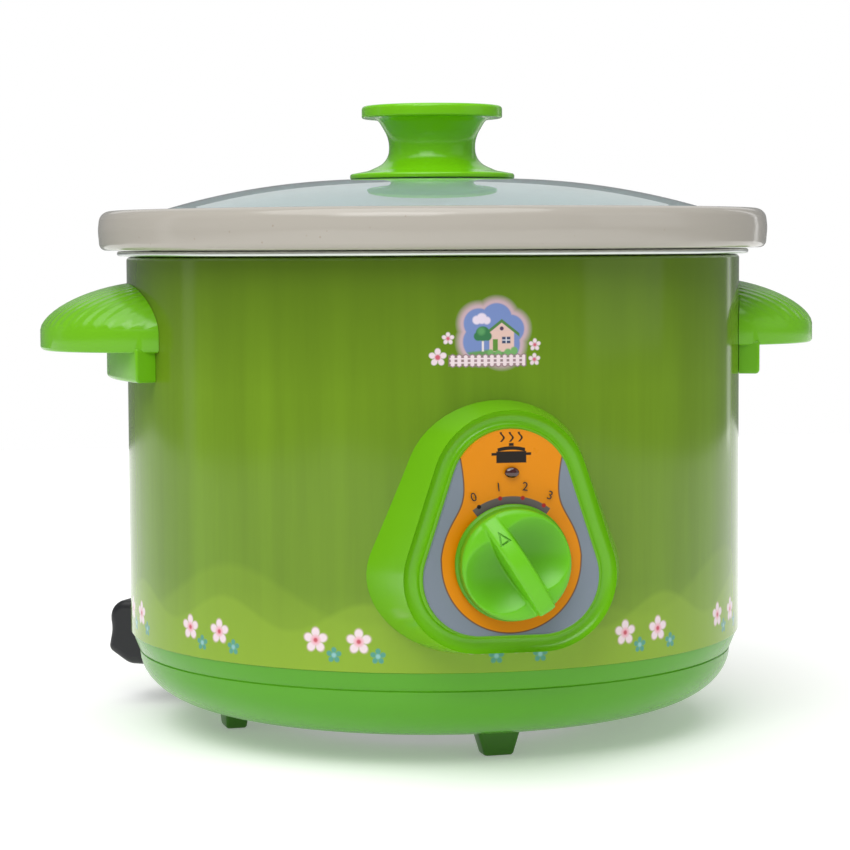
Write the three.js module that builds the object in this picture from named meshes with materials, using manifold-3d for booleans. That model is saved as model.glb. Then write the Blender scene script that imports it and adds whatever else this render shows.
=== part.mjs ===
// A round slow cooker: a painted steel drum on a moulded base with four feet, a glazed crock that
// lifts out, a domed glass lid, two side handles and a control housing with one rotary knob.
import * as THREE from "three";
import { mergeVertices } from "three/addons/utils/BufferGeometryUtils.js";
import Module from "manifold-3d";

const wasm = await Module();
wasm.setup();

// All sizes are in millimetres. Angles round the pot are in degrees from the front, positive to the
// right. Heights are measured from the surface that the feet stand on.

// Fits
const SEAT_GAP = 0.3; // between two pieces that rest on each other
const SLIP_GAP = 0.2; // round a shank, a shaft or a blade in its hole

// Drum
const SHELL_RADIUS = 114;
const SHELL_HEIGHT = 138.8;
const SHELL_WALL = 1;
const SHELL_LIP = 4; // width of the in-turned top edge
const SHELL_WINDOW = [32, 56]; // cut-out behind the control housing: wide, high
const SHELL_WINDOW_DROP = 6; // of its centre below the panel's centre

// Base
const BASE_HEIGHT = 26;
const BASE_WALL = 2.6;
const BASE_BAND_HEIGHT = 7;
const BASE_BAND_TAPER = 3;
const BASE_GROOVE = 1;
const BASE_CURVE_WIDTH = 27.2; // from the groove in to the flat underside
const BASE_SPIGOT_HEIGHT = 4; // collar that stands up inside the drum
const BASE_STEP = 0.8; // from the drum in to the band
const COVER_RADIUS = 58;
const COVER_THICKNESS = 1.3;
const COVER_LAND = 8; // width of the base's ledge over the cover
const COVER_SCREW_COUNT = 3;
const COVER_BOSS_HEIGHT = 7;
const VENT_COUNT = 8;
const VENT_LENGTH = 16;
const VENT_WIDTH = 3;

// Feet
const FOOT_HEIGHT = 9;
const FOOT_INSET = 5.5; // from the edge of the flat underside in to a foot's middle
const FOOT_TOP = [16, 9]; // tangential, radial
const FOOT_BOTTOM = [10, 7];
const FOOT_TURN = 5;
const FOOT_SPIGOT_RADIUS = 2.6;

// Liner and heaters
const LINER_WALL = 1.2;
const LINER_FLANGE_OVERHANG = 3.4; // past the drum
const LINER_FLANGE_THICKNESS = 1.8;
const LINER_DROP = 12.5; // from the seam up to the underside of the floor
const BAND_HEATER_THICKNESS = 1.5;
const BAND_HEATER_RISE = 37; // over the seam
const SLEEVE_THICKNESS = 1.5;
const SLEEVE_OVERLAP = [4, 14]; // past the band heater, below and above
const SLEEVE_HEADROOM = 3.7; // from the sleeve up to the handle screws' heads
const FLOOR_HEATER_INSET = 28; // from the liner's wall
const FLOOR_HEATER_THICKNESS = 2;
const HEATER_PLATE_THICKNESS = 1.5;
const THERMOSTAT_RADIUS = 8.5;
const THERMOSTAT_HEIGHT = 9;
const THERMOSTAT_PLACE = [150, 42]; // angle, radius
const FUSE_RADIUS = 2;
const FUSE_LENGTH = 22;
const FUSE_PLACE = [60, 40];
const TERMINAL_BLOCK = [28, 14, 12]; // tangential, radial, high
const TERMINAL_ANGLE = -62;
const TIE_RADIUS = 2.5;
const TIE_HEAD_RADIUS = 9;
const NUT_HEIGHT = 2.6;
const NUT_RADIUS = 4.6;
const WASHER_THICKNESS = 1;
const WASHER_RADIUS = 8;

// Crock
const CROCK_INSET = 10.4; // from the drum's face in to the crock's wall
const CROCK_WALL = 6.6;
const CROCK_FLOOR = 8;
const CROCK_FLOOR_GAP = 1.3; // over the liner's floor
const CROCK_CORNER = 12;
const CROCK_RIM_OVERHANG = 10.3; // past the drum
const CROCK_RIM_HEIGHT = 14.4;
const CROCK_RIM_ROUND = 4;
const CROCK_CLEARANCE = 1.6; // from the crock to the liner's wall

// Lid
const LID_SEAT_WIDTH = 7; // how far the glass reaches past the crock's inner wall
const LID_THICKNESS = 4;
const LID_RISE = 12;
const LID_LAND_RADIUS = 27; // flat middle that carries the knob
const LID_SEAT_DEPTH = 5;
const LID_SIDE_GAP = 1.2;
const VENT_HOLE_RADIUS = 1.6;
const VENT_HOLE_ANGLE = 46;
const VENT_HOLE_INSET = 29; // from the glass's edge
const LID_KNOB_FLANGE = 30.7;
const LID_KNOB_NECK = 16.2;
const LID_KNOB_TOP = 26.2;
const LID_KNOB_HEIGHT = 27.2;
const LID_SCREW_RADIUS = 2;
const LID_SCREW_LENGTH = 19;
const LID_SCREW_HEAD = [5, 2.2]; // radius, height
const LID_WASHER_RADIUS = 9;
const LID_WASHER_THICKNESS = 1.5;

// Side handles
const HANDLE_HALF_WIDTH = 41.5;
const HANDLE_STAND_OUT = 31.8; // from the drum to the tip
const HANDLE_DROP = 33.5; // from the drum's top to the underside of the grip
const HANDLE_EDGE_HEIGHT = 7.6; // of the flank below the crown
const HANDLE_CROWN = 16.6;
const HANDLE_LUG_DROP = 10.6; // of the root below the grip
const HANDLE_ROOT_THICKNESS = 7.4;
const HANDLE_WALL = 4;
const HANDLE_RECESS_DEPTH = 7.5;
const HANDLE_SCREW_SPREAD = 22;
const HANDLE_SCREW_RISE = 3; // over the underside of the grip
const HANDLE_SCREW_LENGTH = 7;
const HANDLE_TIP_POWER = 1.7;
const HANDLE_SIDE_POWER = 3;
const HANDLE_CROWN_POWER = 0.6;

// Control housing and knob
const HOUSING_STAND_OUT = 20; // from the drum to the housing's rim
const PANEL_RISE = 49.2; // of its centre over the seam
const PANEL_TOP_ROUND = 20; // radius of the panel's top
const PANEL_TOP_RISE = 13.9; // of that round's centre over the panel's centre
const PANEL_CORNER_ROUND = 19;
const PANEL_CORNER_DROP = 14.9;
const PANEL_CORNER_SPREAD = 10.4;
const HOUSING_RIM = 5.6;
const HOUSING_WALL = 2.4;
const HOUSING_ROUND = 2;
const HOUSING_DRAFT = [0.0086, 0.0034]; // share that the outline grows per millimetre, in X and in Z
const PANEL_RECESS = 2.3;
const PANEL_THICKNESS = 1;
const HOUSING_BOSS_RADIUS = 4;
const HOUSING_SCREWS = [[0, 31], [24, -22], [-24, -22]]; // from the panel's centre
const HOUSING_SCREW_LENGTH = 12;
const KNOB_DROP = 9.8; // of its axis below the panel's centre
const KNOB_FLANGE_RADIUS = 19.3;
const KNOB_BODY_RADIUS = 18.2;
const KNOB_FLANGE_THICKNESS = 2.2;
const KNOB_FACE_HEIGHT = 8;
const KNOB_HEIGHT = 15;
const KNOB_BAR_WIDTH = 7.6;
const KNOB_DISH_DEPTH = 3.4;
const KNOB_RIM = 1.8;
const KNOB_POINTS_AT = -32; // degrees clockwise from straight up
const SHAFT_RADIUS = 3;
const SWITCH_SIZE = [28, 28, 13]; // wide, high, deep
const BUSHING_RADIUS = 4.8;
const SWITCH_NUT = [6.6, 2.2]; // corner radius, thickness
const LAMP_RISE = 19.6; // over the panel's centre
const LENS_HALF_SIZE = [2.4, 1.75];
const LAMP_RADIUS = 2.6;
const LAMP_LENGTH = 9;

// Power inlet
const INLET_ANGLE = -122;
const INLET_SIZE = [34, 25]; // wide, high
const INLET_DROP = 7.5; // of its centre below the seam
const INLET_STAND_OUT = 17; // from the drum
const INLET_ROUND = 7;
const INLET_SPIGOT = [21, 12]; // wide, high
const INLET_SCREW_SPREAD = 14.6;
const INLET_SCREW_LENGTH = 12;
const SOCKET_SIZE = [22, 15];
const SOCKET_DEPTH = 15;
const PIN_SIZE = [4, 1.8];
const PIN_LENGTH = 24;
const PIN_SPREAD = 5.5;
const PIN_OFFSET = 3; // live and neutral above, earth below

// Screws
const SCREW_RADIUS = 1.9;
const SCREW_HEAD = [3.6, 2];

// Leads
const LEAD_RADIUS = 1.2;

// Facets on a full turn
const BODY_STEPS = 48;
const ROUND_STEPS = 28;
const SMALL_STEPS = 10;

// Levels and radii that follow from the sizes above.
const BASE_BOTTOM = FOOT_HEIGHT;
const SEAM = BASE_BOTTOM + BASE_HEIGHT;
const SHELL_TOP = SEAM + SHELL_HEIGHT;
const SHELL_INNER = SHELL_RADIUS - SHELL_WALL;
const LINER_FLOOR = SEAM + LINER_DROP;
const LINER_FLANGE_RADIUS = SHELL_RADIUS + LINER_FLANGE_OVERHANG;
const CROCK_RADIUS = SHELL_RADIUS - CROCK_INSET;
const CROCK_BOTTOM = LINER_FLOOR + LINER_WALL + CROCK_FLOOR_GAP;
const CROCK_RIM_RADIUS = SHELL_RADIUS + CROCK_RIM_OVERHANG;
const BAND_HEATER_BOTTOM = SEAM + BAND_HEATER_RISE;
const FLANGE_BOTTOM = SHELL_TOP + SEAT_GAP;
const RIM_BOTTOM = FLANGE_BOTTOM + LINER_FLANGE_THICKNESS + SEAT_GAP;
const RIM_TOP = RIM_BOTTOM + CROCK_RIM_HEIGHT;
const LINER_INNER = CROCK_RADIUS + CROCK_CLEARANCE;
const LINER_OUTER = LINER_INNER + LINER_WALL;
const LID_RADIUS = CROCK_RADIUS - CROCK_WALL + LID_SEAT_WIDTH;
const LID_BOTTOM = RIM_TOP - LID_SEAT_DEPTH + SEAT_GAP;
const LID_LAND = LID_BOTTOM + LID_THICKNESS + LID_RISE;
const LID_KNOB_BOTTOM = LID_LAND + SEAT_GAP;
const HEATER_PLATE_BOTTOM =
  LINER_FLOOR - SEAT_GAP - FLOOR_HEATER_THICKNESS - SEAT_GAP - HEATER_PLATE_THICKNESS;
const COVER_BOTTOM = BASE_BOTTOM + SEAT_GAP;
const BASE_FLOOR = BASE_BOTTOM + BASE_WALL;
const BASE_TOP_RADIUS = SHELL_RADIUS - BASE_STEP;
const GROOVE_RADIUS = BASE_TOP_RADIUS - BASE_BAND_TAPER;
const BASE_FLAT_RADIUS = GROOVE_RADIUS - BASE_CURVE_WIDTH;
const FOOT_CENTRE_RADIUS = BASE_FLAT_RADIUS - FOOT_INSET;
const FLOOR_HEATER_RADIUS = LINER_INNER - FLOOR_HEATER_INSET;
const COVER_SCREW_CIRCLE = COVER_RADIUS - COVER_LAND / 2;
const SCREW_BOSS_RADIUS = COVER_LAND / 2;
const BOSS_TOP = BASE_FLOOR + COVER_BOSS_HEIGHT;
const WASHER_BOTTOM = COVER_BOTTOM - SEAT_GAP - WASHER_THICKNESS;
const TIE_NUT_BOTTOM = WASHER_BOTTOM - SEAT_GAP - NUT_HEIGHT;
const TIE_BOTTOM = TIE_NUT_BOTTOM - 0.5;
const LID_WASHER_BOTTOM = LID_LAND - LID_THICKNESS - SEAT_GAP - LID_WASHER_THICKNESS;
const HANDLE_REACH = SHELL_RADIUS + HANDLE_STAND_OUT;
const HANDLE_BOTTOM = SHELL_TOP - HANDLE_DROP;
const HANDLE_ROOT_REACH = Math.sqrt(SHELL_RADIUS ** 2 - HANDLE_HALF_WIDTH ** 2);
const HANDLE_SCREW_HEIGHT = HANDLE_BOTTOM + HANDLE_SCREW_RISE;
const BAND_HEATER_TOP =
  HANDLE_SCREW_HEIGHT - SCREW_HEAD[0] - SLEEVE_HEADROOM - SLEEVE_OVERLAP[1];
const HANDLE_SCREW_SEAT = screwSeat(HANDLE_SCREW_SPREAD);
const PANEL_FACE = SHELL_RADIUS + HOUSING_STAND_OUT;
const PANEL_CENTRE = SEAM + PANEL_RISE;
const KNOB_AXIS_HEIGHT = PANEL_CENTRE - KNOB_DROP;
const LAMP_HEIGHT = PANEL_CENTRE + LAMP_RISE;
const PANEL_FLOOR = PANEL_FACE - PANEL_RECESS; // bottom of the recess for the panel
const PANEL_BACK = PANEL_FLOOR - HOUSING_WALL; // inside of the housing's front wall
const PANEL_FRONT = PANEL_FLOOR + SEAT_GAP + PANEL_THICKNESS;
const BUSHING_FRONT = PANEL_FRONT + SEAT_GAP + SWITCH_NUT[1] + 0.4;
const SHAFT_BACK = PANEL_BACK - SEAT_GAP - SWITCH_SIZE[2] + 3;
const KNOB_BOTTOM = PANEL_FRONT + 0.5;
const KNOB_NUT_ROOM = BUSHING_FRONT + SEAT_GAP - KNOB_BOTTOM;
const TERMINAL_RADIUS = FOOT_CENTRE_RADIUS - TERMINAL_BLOCK[1] / 2 + 0.5;
const INLET_CENTRE = SEAM - INLET_DROP;
const INLET_REACH = SHELL_RADIUS + INLET_STAND_OUT;
const INLET_SPIGOT_BACK = GROOVE_RADIUS - BASE_WALL - 4;
const INLET_PIN_BACK = INLET_SPIGOT_BACK - 2;
const INLET_SCREW_SEAT = GROOVE_RADIUS - BASE_WALL - 3.4;
const FRONT_REACH = KNOB_BOTTOM + KNOB_HEIGHT;
const POT_AXIS_Y = (FRONT_REACH - CROCK_RIM_RADIUS) / 2;

// How far from the axis the flat underside of a head sits, inside the drum's wall and off its middle.
function screwSeat(offset) {
  return Math.sqrt(SHELL_INNER ** 2 - (Math.abs(offset) + SCREW_HEAD[0]) ** 2) - SEAT_GAP;
}

// ---- Geometry helpers ----

function toSolid(geometry) {
  const bare = geometry.clone();
  bare.deleteAttribute("normal");
  bare.deleteAttribute("uv");
  const merged = mergeVertices(bare, 1e-4);
  const vertProperties = new Float32Array(merged.attributes.position.array);
  const triVerts = new Uint32Array(merged.index.array);
  return new wasm.Manifold(new wasm.Mesh({ numProp: 3, vertProperties, triVerts }));
}

function toGeometry(solid) {
  const { vertProperties, triVerts } = solid.getMesh();
  const geometry = new THREE.BufferGeometry();
  geometry.setAttribute("position", new THREE.BufferAttribute(vertProperties, 3));
  geometry.setIndex(new THREE.BufferAttribute(triVerts, 1));
  return geometry;
}

function join(body, ...others) {
  return toGeometry(others.reduce((all, other) => all.add(toSolid(other)), toSolid(body)));
}

function cut(body, ...tools) {
  return toGeometry(tools.reduce((left, tool) => left.subtract(toSolid(tool)), toSolid(body)));
}

function overlap(body, ...others) {
  return toGeometry(others.reduce((all, other) => all.intersect(toSolid(other)), toSolid(body)));
}

// A profile of [radius, height] pairs turned about +Z. It closes on itself unless it ends on the axis.
function revolve(pairs, steps = BODY_STEPS) {
  const profile = pairs.map(([radius, height]) => new THREE.Vector2(radius, height));
  if (THREE.ShapeUtils.area(profile) < 0) profile.reverse();
  if (profile.some((point) => point.x === 0)) {
    while (!(profile[0].x === 0 && profile.at(-1).x === 0)) profile.push(profile.shift());
  } else {
    profile.push(profile[0].clone());
  }
  return new THREE.LatheGeometry(profile, steps).rotateX(Math.PI / 2);
}

function tube(inner, outer, bottom, top, steps) {
  return revolve([[inner, bottom], [outer, bottom], [outer, top], [inner, top]], steps);
}

function rod(radius, bottom, top, steps = SMALL_STEPS) {
  return revolve([[0, bottom], [radius, bottom], [radius, top], [0, top]], steps);
}

// A box given by its size and its centre.
function block([width, depth, height], [x, y, z]) {
  return new THREE.BoxGeometry(width, depth, height).translate(x, y, z);
}

// A shape drawn in X and Z, thickened along Y from front to back. The front is towards -Y.
function slab(shape, front, back, bevel = {}) {
  const options = { depth: back - front, bevelEnabled: false, curveSegments: 6, ...bevel };
  return new THREE.ExtrudeGeometry(shape, options).rotateX(Math.PI / 2).translate(0, back, 0);
}

// A shape drawn in Y and Z, thickened along X and centred on x = 0.
function profileSlab(shape, width) {
  return new THREE.ExtrudeGeometry(shape, { depth: width, bevelEnabled: false, curveSegments: 6 })
    .rotateX(Math.PI / 2)
    .rotateZ(Math.PI / 2)
    .translate(-width / 2, 0, 0);
}

// A rod along Y, from front to back.
function barrel(radius, front, back, [x, z], steps = SMALL_STEPS) {
  return new THREE.CylinderGeometry(radius, radius, back - front, steps)
    .translate(x, (front + back) / 2, z);
}

// Turns a geometry that was made at the front of the pot to its own angle round the pot.
function turned(geometry, degrees) {
  return geometry.clone().rotateZ(THREE.MathUtils.degToRad(degrees));
}

function everyTurn(count, start = 0) {
  return Array.from({ length: count }, (_, index) => start + (index * 360) / count);
}

// A point by its angle round the pot, its radius and its height.
function polar(degrees, radius, height) {
  const angle = THREE.MathUtils.degToRad(degrees);
  return new THREE.Vector3(radius * Math.sin(angle), -radius * Math.cos(angle), height);
}

// ---- Fasteners ----

// A pan-head screw with its shank along +Z and the underside of its head at z = 0.
function panScrew(length, radius = SCREW_RADIUS, [headRadius, headHeight] = SCREW_HEAD) {
  return revolve(
    [
      [0, -headHeight],
      [headRadius * 0.7, -headHeight],
      [headRadius, -headHeight * 0.4],
      [headRadius, 0],
      [radius, 0],
      [radius, length],
      [0, length],
    ],
    SMALL_STEPS,
  );
}

function hexNut(cornerRadius, boreRadius, bottom, height) {
  const hexagon = new THREE.CylinderGeometry(cornerRadius, cornerRadius, height, 6)
    .rotateX(Math.PI / 2)
    .translate(0, 0, bottom + height / 2);
  return cut(hexagon, rod(boreRadius, bottom - 1, bottom + height + 1));
}

// ---- Drum ----

function handleScrewHole(side, radius) {
  return barrel(radius, -SHELL_RADIUS - 5, -SHELL_RADIUS + 15, [
    side * HANDLE_SCREW_SPREAD,
    HANDLE_SCREW_HEIGHT,
  ]);
}

function outerShell() {
  const bottom = SEAM + SEAT_GAP;
  const drum = revolve([
    [SHELL_INNER, bottom],
    [SHELL_RADIUS, bottom],
    [SHELL_RADIUS, SHELL_TOP],
    [SHELL_RADIUS - SHELL_LIP, SHELL_TOP],
    [SHELL_RADIUS - SHELL_LIP, SHELL_TOP - SHELL_WALL],
    [SHELL_INNER, SHELL_TOP - SHELL_WALL],
  ]);
  const [width, height] = SHELL_WINDOW;
  const window = block([width, 20, height], [0, -SHELL_RADIUS, PANEL_CENTRE - SHELL_WINDOW_DROP]);
  const housingHoles = HOUSING_SCREWS.map(([x, rise]) =>
    barrel(SCREW_RADIUS + SLIP_GAP, -SHELL_RADIUS - 5, -SHELL_RADIUS + 10, [x, PANEL_CENTRE + rise]),
  );
  const handleHoles = [-90, 90].flatMap((angle) =>
    [-1, 1].map((side) => turned(handleScrewHole(side, SCREW_RADIUS + SLIP_GAP), angle)),
  );
  return cut(drum, window, ...housingHoles, ...handleHoles);
}

// ---- Base ----

// The outline of the bowl from its flat up to the groove, a quarter of an ellipse.
function bowlArc(inset, steps = 5) {
  const reach = GROOVE_RADIUS - BASE_FLAT_RADIUS - inset;
  const rise = BASE_HEIGHT - BASE_BAND_HEIGHT - inset;
  return Array.from({ length: steps + 1 }, (_, index) => {
    const angle = (index / steps) * (Math.PI / 2);
    return [
      BASE_FLAT_RADIUS + reach * Math.sin(angle),
      BASE_BOTTOM + inset + rise * (1 - Math.cos(angle)),
    ];
  });
}

function baseSkin(grown) {
  const bandBottom = SEAM - BASE_BAND_HEIGHT;
  return [
    ...bowlArc(-grown),
    [GROOVE_RADIUS + grown, bandBottom],
    [BASE_TOP_RADIUS + grown, SEAM],
  ];
}

function baseBowl() {
  const bandBottom = SEAM - BASE_BAND_HEIGHT;
  const ledge = COVER_BOTTOM + COVER_THICKNESS + SEAT_GAP;
  const opening = COVER_RADIUS - COVER_LAND;
  const spigot = SHELL_INNER - 0.4;
  const bowl = revolve([
    [opening, ledge],
    [COVER_RADIUS + SEAT_GAP, ledge],
    [COVER_RADIUS + SEAT_GAP, BASE_BOTTOM],
    ...bowlArc(0),
    [GROOVE_RADIUS - BASE_GROOVE, bandBottom],
    [GROOVE_RADIUS - BASE_GROOVE, bandBottom + BASE_GROOVE],
    [GROOVE_RADIUS + 0.4, bandBottom + BASE_GROOVE],
    [BASE_TOP_RADIUS, SEAM],
    [spigot, SEAM],
    [spigot, SEAM + BASE_SPIGOT_HEIGHT],
    [spigot - BASE_WALL, SEAM + BASE_SPIGOT_HEIGHT],
    [spigot - BASE_WALL, SEAM],
    ...bowlArc(BASE_WALL).reverse(),
    [COVER_RADIUS + BASE_WALL, BASE_FLOOR],
    [COVER_RADIUS + BASE_WALL, ledge + BASE_WALL],
    [opening, ledge + BASE_WALL],
  ]);
  const bosses = coverScrewAngles().map((angle) =>
    turned(rod(SCREW_BOSS_RADIUS, ledge + 1, BOSS_TOP).translate(0, -COVER_SCREW_CIRCLE, 0), angle),
  );
  const screwHoles = coverScrewAngles().map((angle) =>
    turned(coverScrewHole(BOSS_TOP + 1), angle),
  );
  const footHoles = footAngles().map((angle) =>
    turned(
      rod(FOOT_SPIGOT_RADIUS + SLIP_GAP, 0, BASE_FLOOR + 1).translate(0, -FOOT_CENTRE_RADIUS, 0),
      angle,
    ),
  );
  const inletHole = turned(inletSpigot(SEAT_GAP), INLET_ANGLE);
  const inletScrewHoles = [-1, 1].map((side) =>
    turned(
      barrel(SCREW_RADIUS + SLIP_GAP, -SHELL_RADIUS, -INLET_SCREW_SEAT + 5, [
        side * INLET_SCREW_SPREAD,
        INLET_CENTRE,
      ]),
      INLET_ANGLE,
    ),
  );
  return cut(join(bowl, ...bosses), ...screwHoles, ...footHoles, inletHole, ...inletScrewHoles);
}

function coverScrewAngles() {
  return everyTurn(COVER_SCREW_COUNT, 30);
}

function footAngles() {
  return everyTurn(4, FOOT_TURN);
}

function coverScrewHole(top) {
  return rod(SCREW_RADIUS + SLIP_GAP, 0, top).translate(0, -COVER_SCREW_CIRCLE, 0);
}

function bottomCover() {
  const top = COVER_BOTTOM + COVER_THICKNESS;
  const disc = rod(COVER_RADIUS, COVER_BOTTOM, top, ROUND_STEPS);
  const vents = everyTurn(VENT_COUNT, 180 / VENT_COUNT).map((angle) =>
    turned(block([VENT_WIDTH, VENT_LENGTH, 10], [0, -COVER_RADIUS / 2, COVER_BOTTOM]), angle),
  );
  const screwHoles = coverScrewAngles().map((angle) => turned(coverScrewHole(top + 1), angle));
  return cut(disc, ...vents, ...screwHoles, rod(TIE_RADIUS + SLIP_GAP, 0, top + 1));
}

function coverScrew() {
  return panScrew(BOSS_TOP - COVER_BOTTOM - 1).translate(
    0,
    -COVER_SCREW_CIRCLE,
    COVER_BOTTOM - SEAT_GAP,
  );
}

// A block that tapers from its top down to a smaller bottom.
function taperedBlock([topWidth, topDepth], [bottomWidth, bottomDepth], bottom, top) {
  const geometry = block([1, 1, top - bottom], [0, 0, (top + bottom) / 2]);
  const place = geometry.getAttribute("position");
  for (let index = 0; index < place.count; index += 1) {
    const atTop = place.getZ(index) > (top + bottom) / 2;
    place.setX(index, place.getX(index) * (atTop ? topWidth : bottomWidth));
    place.setY(index, place.getY(index) * (atTop ? topDepth : bottomDepth));
  }
  return geometry;
}

function foot() {
  const top = BASE_BOTTOM - SEAT_GAP;
  const leg = taperedBlock(FOOT_TOP, FOOT_BOTTOM, 0, top);
  const spigot = rod(FOOT_SPIGOT_RADIUS, top - 1, BASE_FLOOR + 2);
  return join(leg, spigot).translate(0, -FOOT_CENTRE_RADIUS, 0);
}

// ---- Liner, heaters and what holds them ----

// A quarter round from straight down to straight out, about a centre.
function roundCorner(centreRadius, centreHeight, radius, steps = 4) {
  return Array.from({ length: steps + 1 }, (_, index) => {
    const angle = (index / steps) * (Math.PI / 2);
    return [centreRadius + radius * Math.sin(angle), centreHeight - radius * Math.cos(angle)];
  });
}

function heaterLiner() {
  const corner = CROCK_CORNER - 2;
  const flangeTop = FLANGE_BOTTOM + LINER_FLANGE_THICKNESS;
  const centre = [LINER_OUTER - corner, LINER_FLOOR + corner];
  return revolve([
    [0, LINER_FLOOR],
    ...roundCorner(...centre, corner),
    [LINER_OUTER, FLANGE_BOTTOM],
    [LINER_FLANGE_RADIUS, FLANGE_BOTTOM],
    [LINER_FLANGE_RADIUS, flangeTop],
    [LINER_INNER, flangeTop],
    ...roundCorner(...centre, corner - LINER_WALL).reverse(),
    [0, LINER_FLOOR + LINER_WALL],
  ]);
}

function bandHeater() {
  const inner = LINER_OUTER + SEAT_GAP;
  return tube(inner, inner + BAND_HEATER_THICKNESS, BAND_HEATER_BOTTOM, BAND_HEATER_TOP);
}

function insulationSleeve() {
  const inner = LINER_OUTER + SEAT_GAP + BAND_HEATER_THICKNESS + SEAT_GAP;
  const [below, above] = SLEEVE_OVERLAP;
  return tube(inner, inner + SLEEVE_THICKNESS, BAND_HEATER_BOTTOM - below, BAND_HEATER_TOP + above);
}

function floorHeater() {
  const top = LINER_FLOOR - SEAT_GAP;
  return tube(TIE_HEAD_RADIUS + 2, FLOOR_HEATER_RADIUS, top - FLOOR_HEATER_THICKNESS, top, ROUND_STEPS);
}

function heaterPlate() {
  const top = HEATER_PLATE_BOTTOM + HEATER_PLATE_THICKNESS;
  return tube(TIE_RADIUS + SLIP_GAP, FLOOR_HEATER_RADIUS + 4, HEATER_PLATE_BOTTOM, top, ROUND_STEPS);
}

function tieBolt() {
  const top = LINER_FLOOR - SEAT_GAP;
  return revolve(
    [
      [0, TIE_BOTTOM],
      [TIE_RADIUS, TIE_BOTTOM],
      [TIE_RADIUS, top - 1.6],
      [TIE_HEAD_RADIUS, top - 1.6],
      [TIE_HEAD_RADIUS, top],
      [0, top],
    ],
    SMALL_STEPS,
  );
}

function tieWasher() {
  return tube(TIE_RADIUS + SLIP_GAP, WASHER_RADIUS, WASHER_BOTTOM, COVER_BOTTOM - SEAT_GAP, SMALL_STEPS);
}

// A strap bent to a U that holds a piece of the given width and height up against the heater plate.
function strap(width, drop, thickness = 1.2, depth = 6) {
  const top = HEATER_PLATE_BOTTOM - SEAT_GAP;
  const bottom = top - drop;
  const height = top - bottom;
  const legs = [-1, 1].map((side) =>
    block([thickness, depth, height], [(side * (width + thickness)) / 2, 0, (top + bottom) / 2]),
  );
  return join(block([width + 2, depth, thickness], [0, 0, bottom + thickness / 2]), ...legs);
}

function thermostat() {
  const top = HEATER_PLATE_BOTTOM - SEAT_GAP;
  const blades = [-1, 1].map((side) => block([1, 4, 7], [side * 4, 7, top - THERMOSTAT_HEIGHT]));
  return join(rod(THERMOSTAT_RADIUS, top - THERMOSTAT_HEIGHT, top, 20), ...blades);
}

function thermalFuse() {
  const height = HEATER_PLATE_BOTTOM - SEAT_GAP - FUSE_RADIUS - 0.3;
  return barrel(FUSE_RADIUS, -FUSE_LENGTH / 2, FUSE_LENGTH / 2, [0, height], 10);
}

function terminalBlock() {
  const [width, depth, height] = TERMINAL_BLOCK;
  const bottom = BASE_FLOOR + SEAT_GAP;
  const body = block([width, depth, height], [0, 0, bottom + height / 2]);
  const pockets = [-1, 0, 1].map((step) =>
    rod(2.2, bottom + height - 6, bottom + height + 1, 8).translate((step * width) / 3.4, 0, 0),
  );
  return cut(body, ...pockets);
}

// A lead through its points, as a tube with six sides.
function lead(points) {
  const path = new THREE.CatmullRomCurve3(points);
  const section = new THREE.Shape().absarc(0, 0, LEAD_RADIUS, 0, 2 * Math.PI);
  const steps = Math.round(path.getLength() / (LEAD_RADIUS * 5));
  return new THREE.ExtrudeGeometry(section, {
    extrudePath: path,
    steps,
    bevelEnabled: false,
    curveSegments: 3,
  });
}

// ---- Crock and lid ----

function crock() {
  const inner = CROCK_RADIUS - CROCK_WALL;
  const floor = CROCK_BOTTOM + CROCK_FLOOR;
  const seat = RIM_TOP - LID_SEAT_DEPTH;
  const seatRadius = LID_RADIUS + LID_SIDE_GAP;
  const round = CROCK_RIM_ROUND;
  const innerCorner = CROCK_CORNER - 3;
  return revolve([
    [0, CROCK_BOTTOM + 1],
    [CROCK_RADIUS - CROCK_CORNER - 8, CROCK_BOTTOM + 1],
    [CROCK_RADIUS - CROCK_CORNER - 7, CROCK_BOTTOM],
    ...roundCorner(CROCK_RADIUS - CROCK_CORNER, CROCK_BOTTOM + CROCK_CORNER, CROCK_CORNER),
    [CROCK_RADIUS, RIM_BOTTOM],
    ...roundCorner(CROCK_RIM_RADIUS - round / 2, RIM_BOTTOM + round / 2, round / 2, 2),
    ...roundCorner(CROCK_RIM_RADIUS - round, -(RIM_TOP - round), round, 3)
      .map(([radius, height]) => [radius, -height])
      .reverse(),
    [seatRadius + 1.5, RIM_TOP],
    [seatRadius, RIM_TOP - 1.5],
    [seatRadius, seat],
    [inner + 2, seat],
    [inner, seat - 2],
    ...roundCorner(inner - innerCorner, floor + innerCorner, innerCorner, 3).reverse(),
    [0, floor],
  ]);
}

// The height of the glass's upper face: level over the middle, then an arc that bends down to the edge.
function domeHeight(radius) {
  const along = Math.max(0, radius - LID_LAND_RADIUS) / (LID_RADIUS - LID_LAND_RADIUS);
  return LID_LAND - LID_RISE * along ** 2;
}

function lidGlass() {
  const steps = 5;
  const radii = Array.from({ length: steps + 1 }, (_, index) =>
    THREE.MathUtils.lerp(LID_LAND_RADIUS, LID_RADIUS, index / steps),
  );
  const bore = LID_SCREW_RADIUS + SLIP_GAP + 0.8;
  const upper = [bore, ...radii].map((radius) => [radius, domeHeight(radius)]);
  const lower = upper.map(([radius, height]) => [radius, height - LID_THICKNESS]).reverse();
  const glass = revolve([...upper, ...lower]);
  const vent = rod(VENT_HOLE_RADIUS, LID_BOTTOM, LID_LAND + 1, 10);
  return cut(glass, turned(vent.translate(0, VENT_HOLE_INSET - LID_RADIUS, 0), VENT_HOLE_ANGLE));
}

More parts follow.
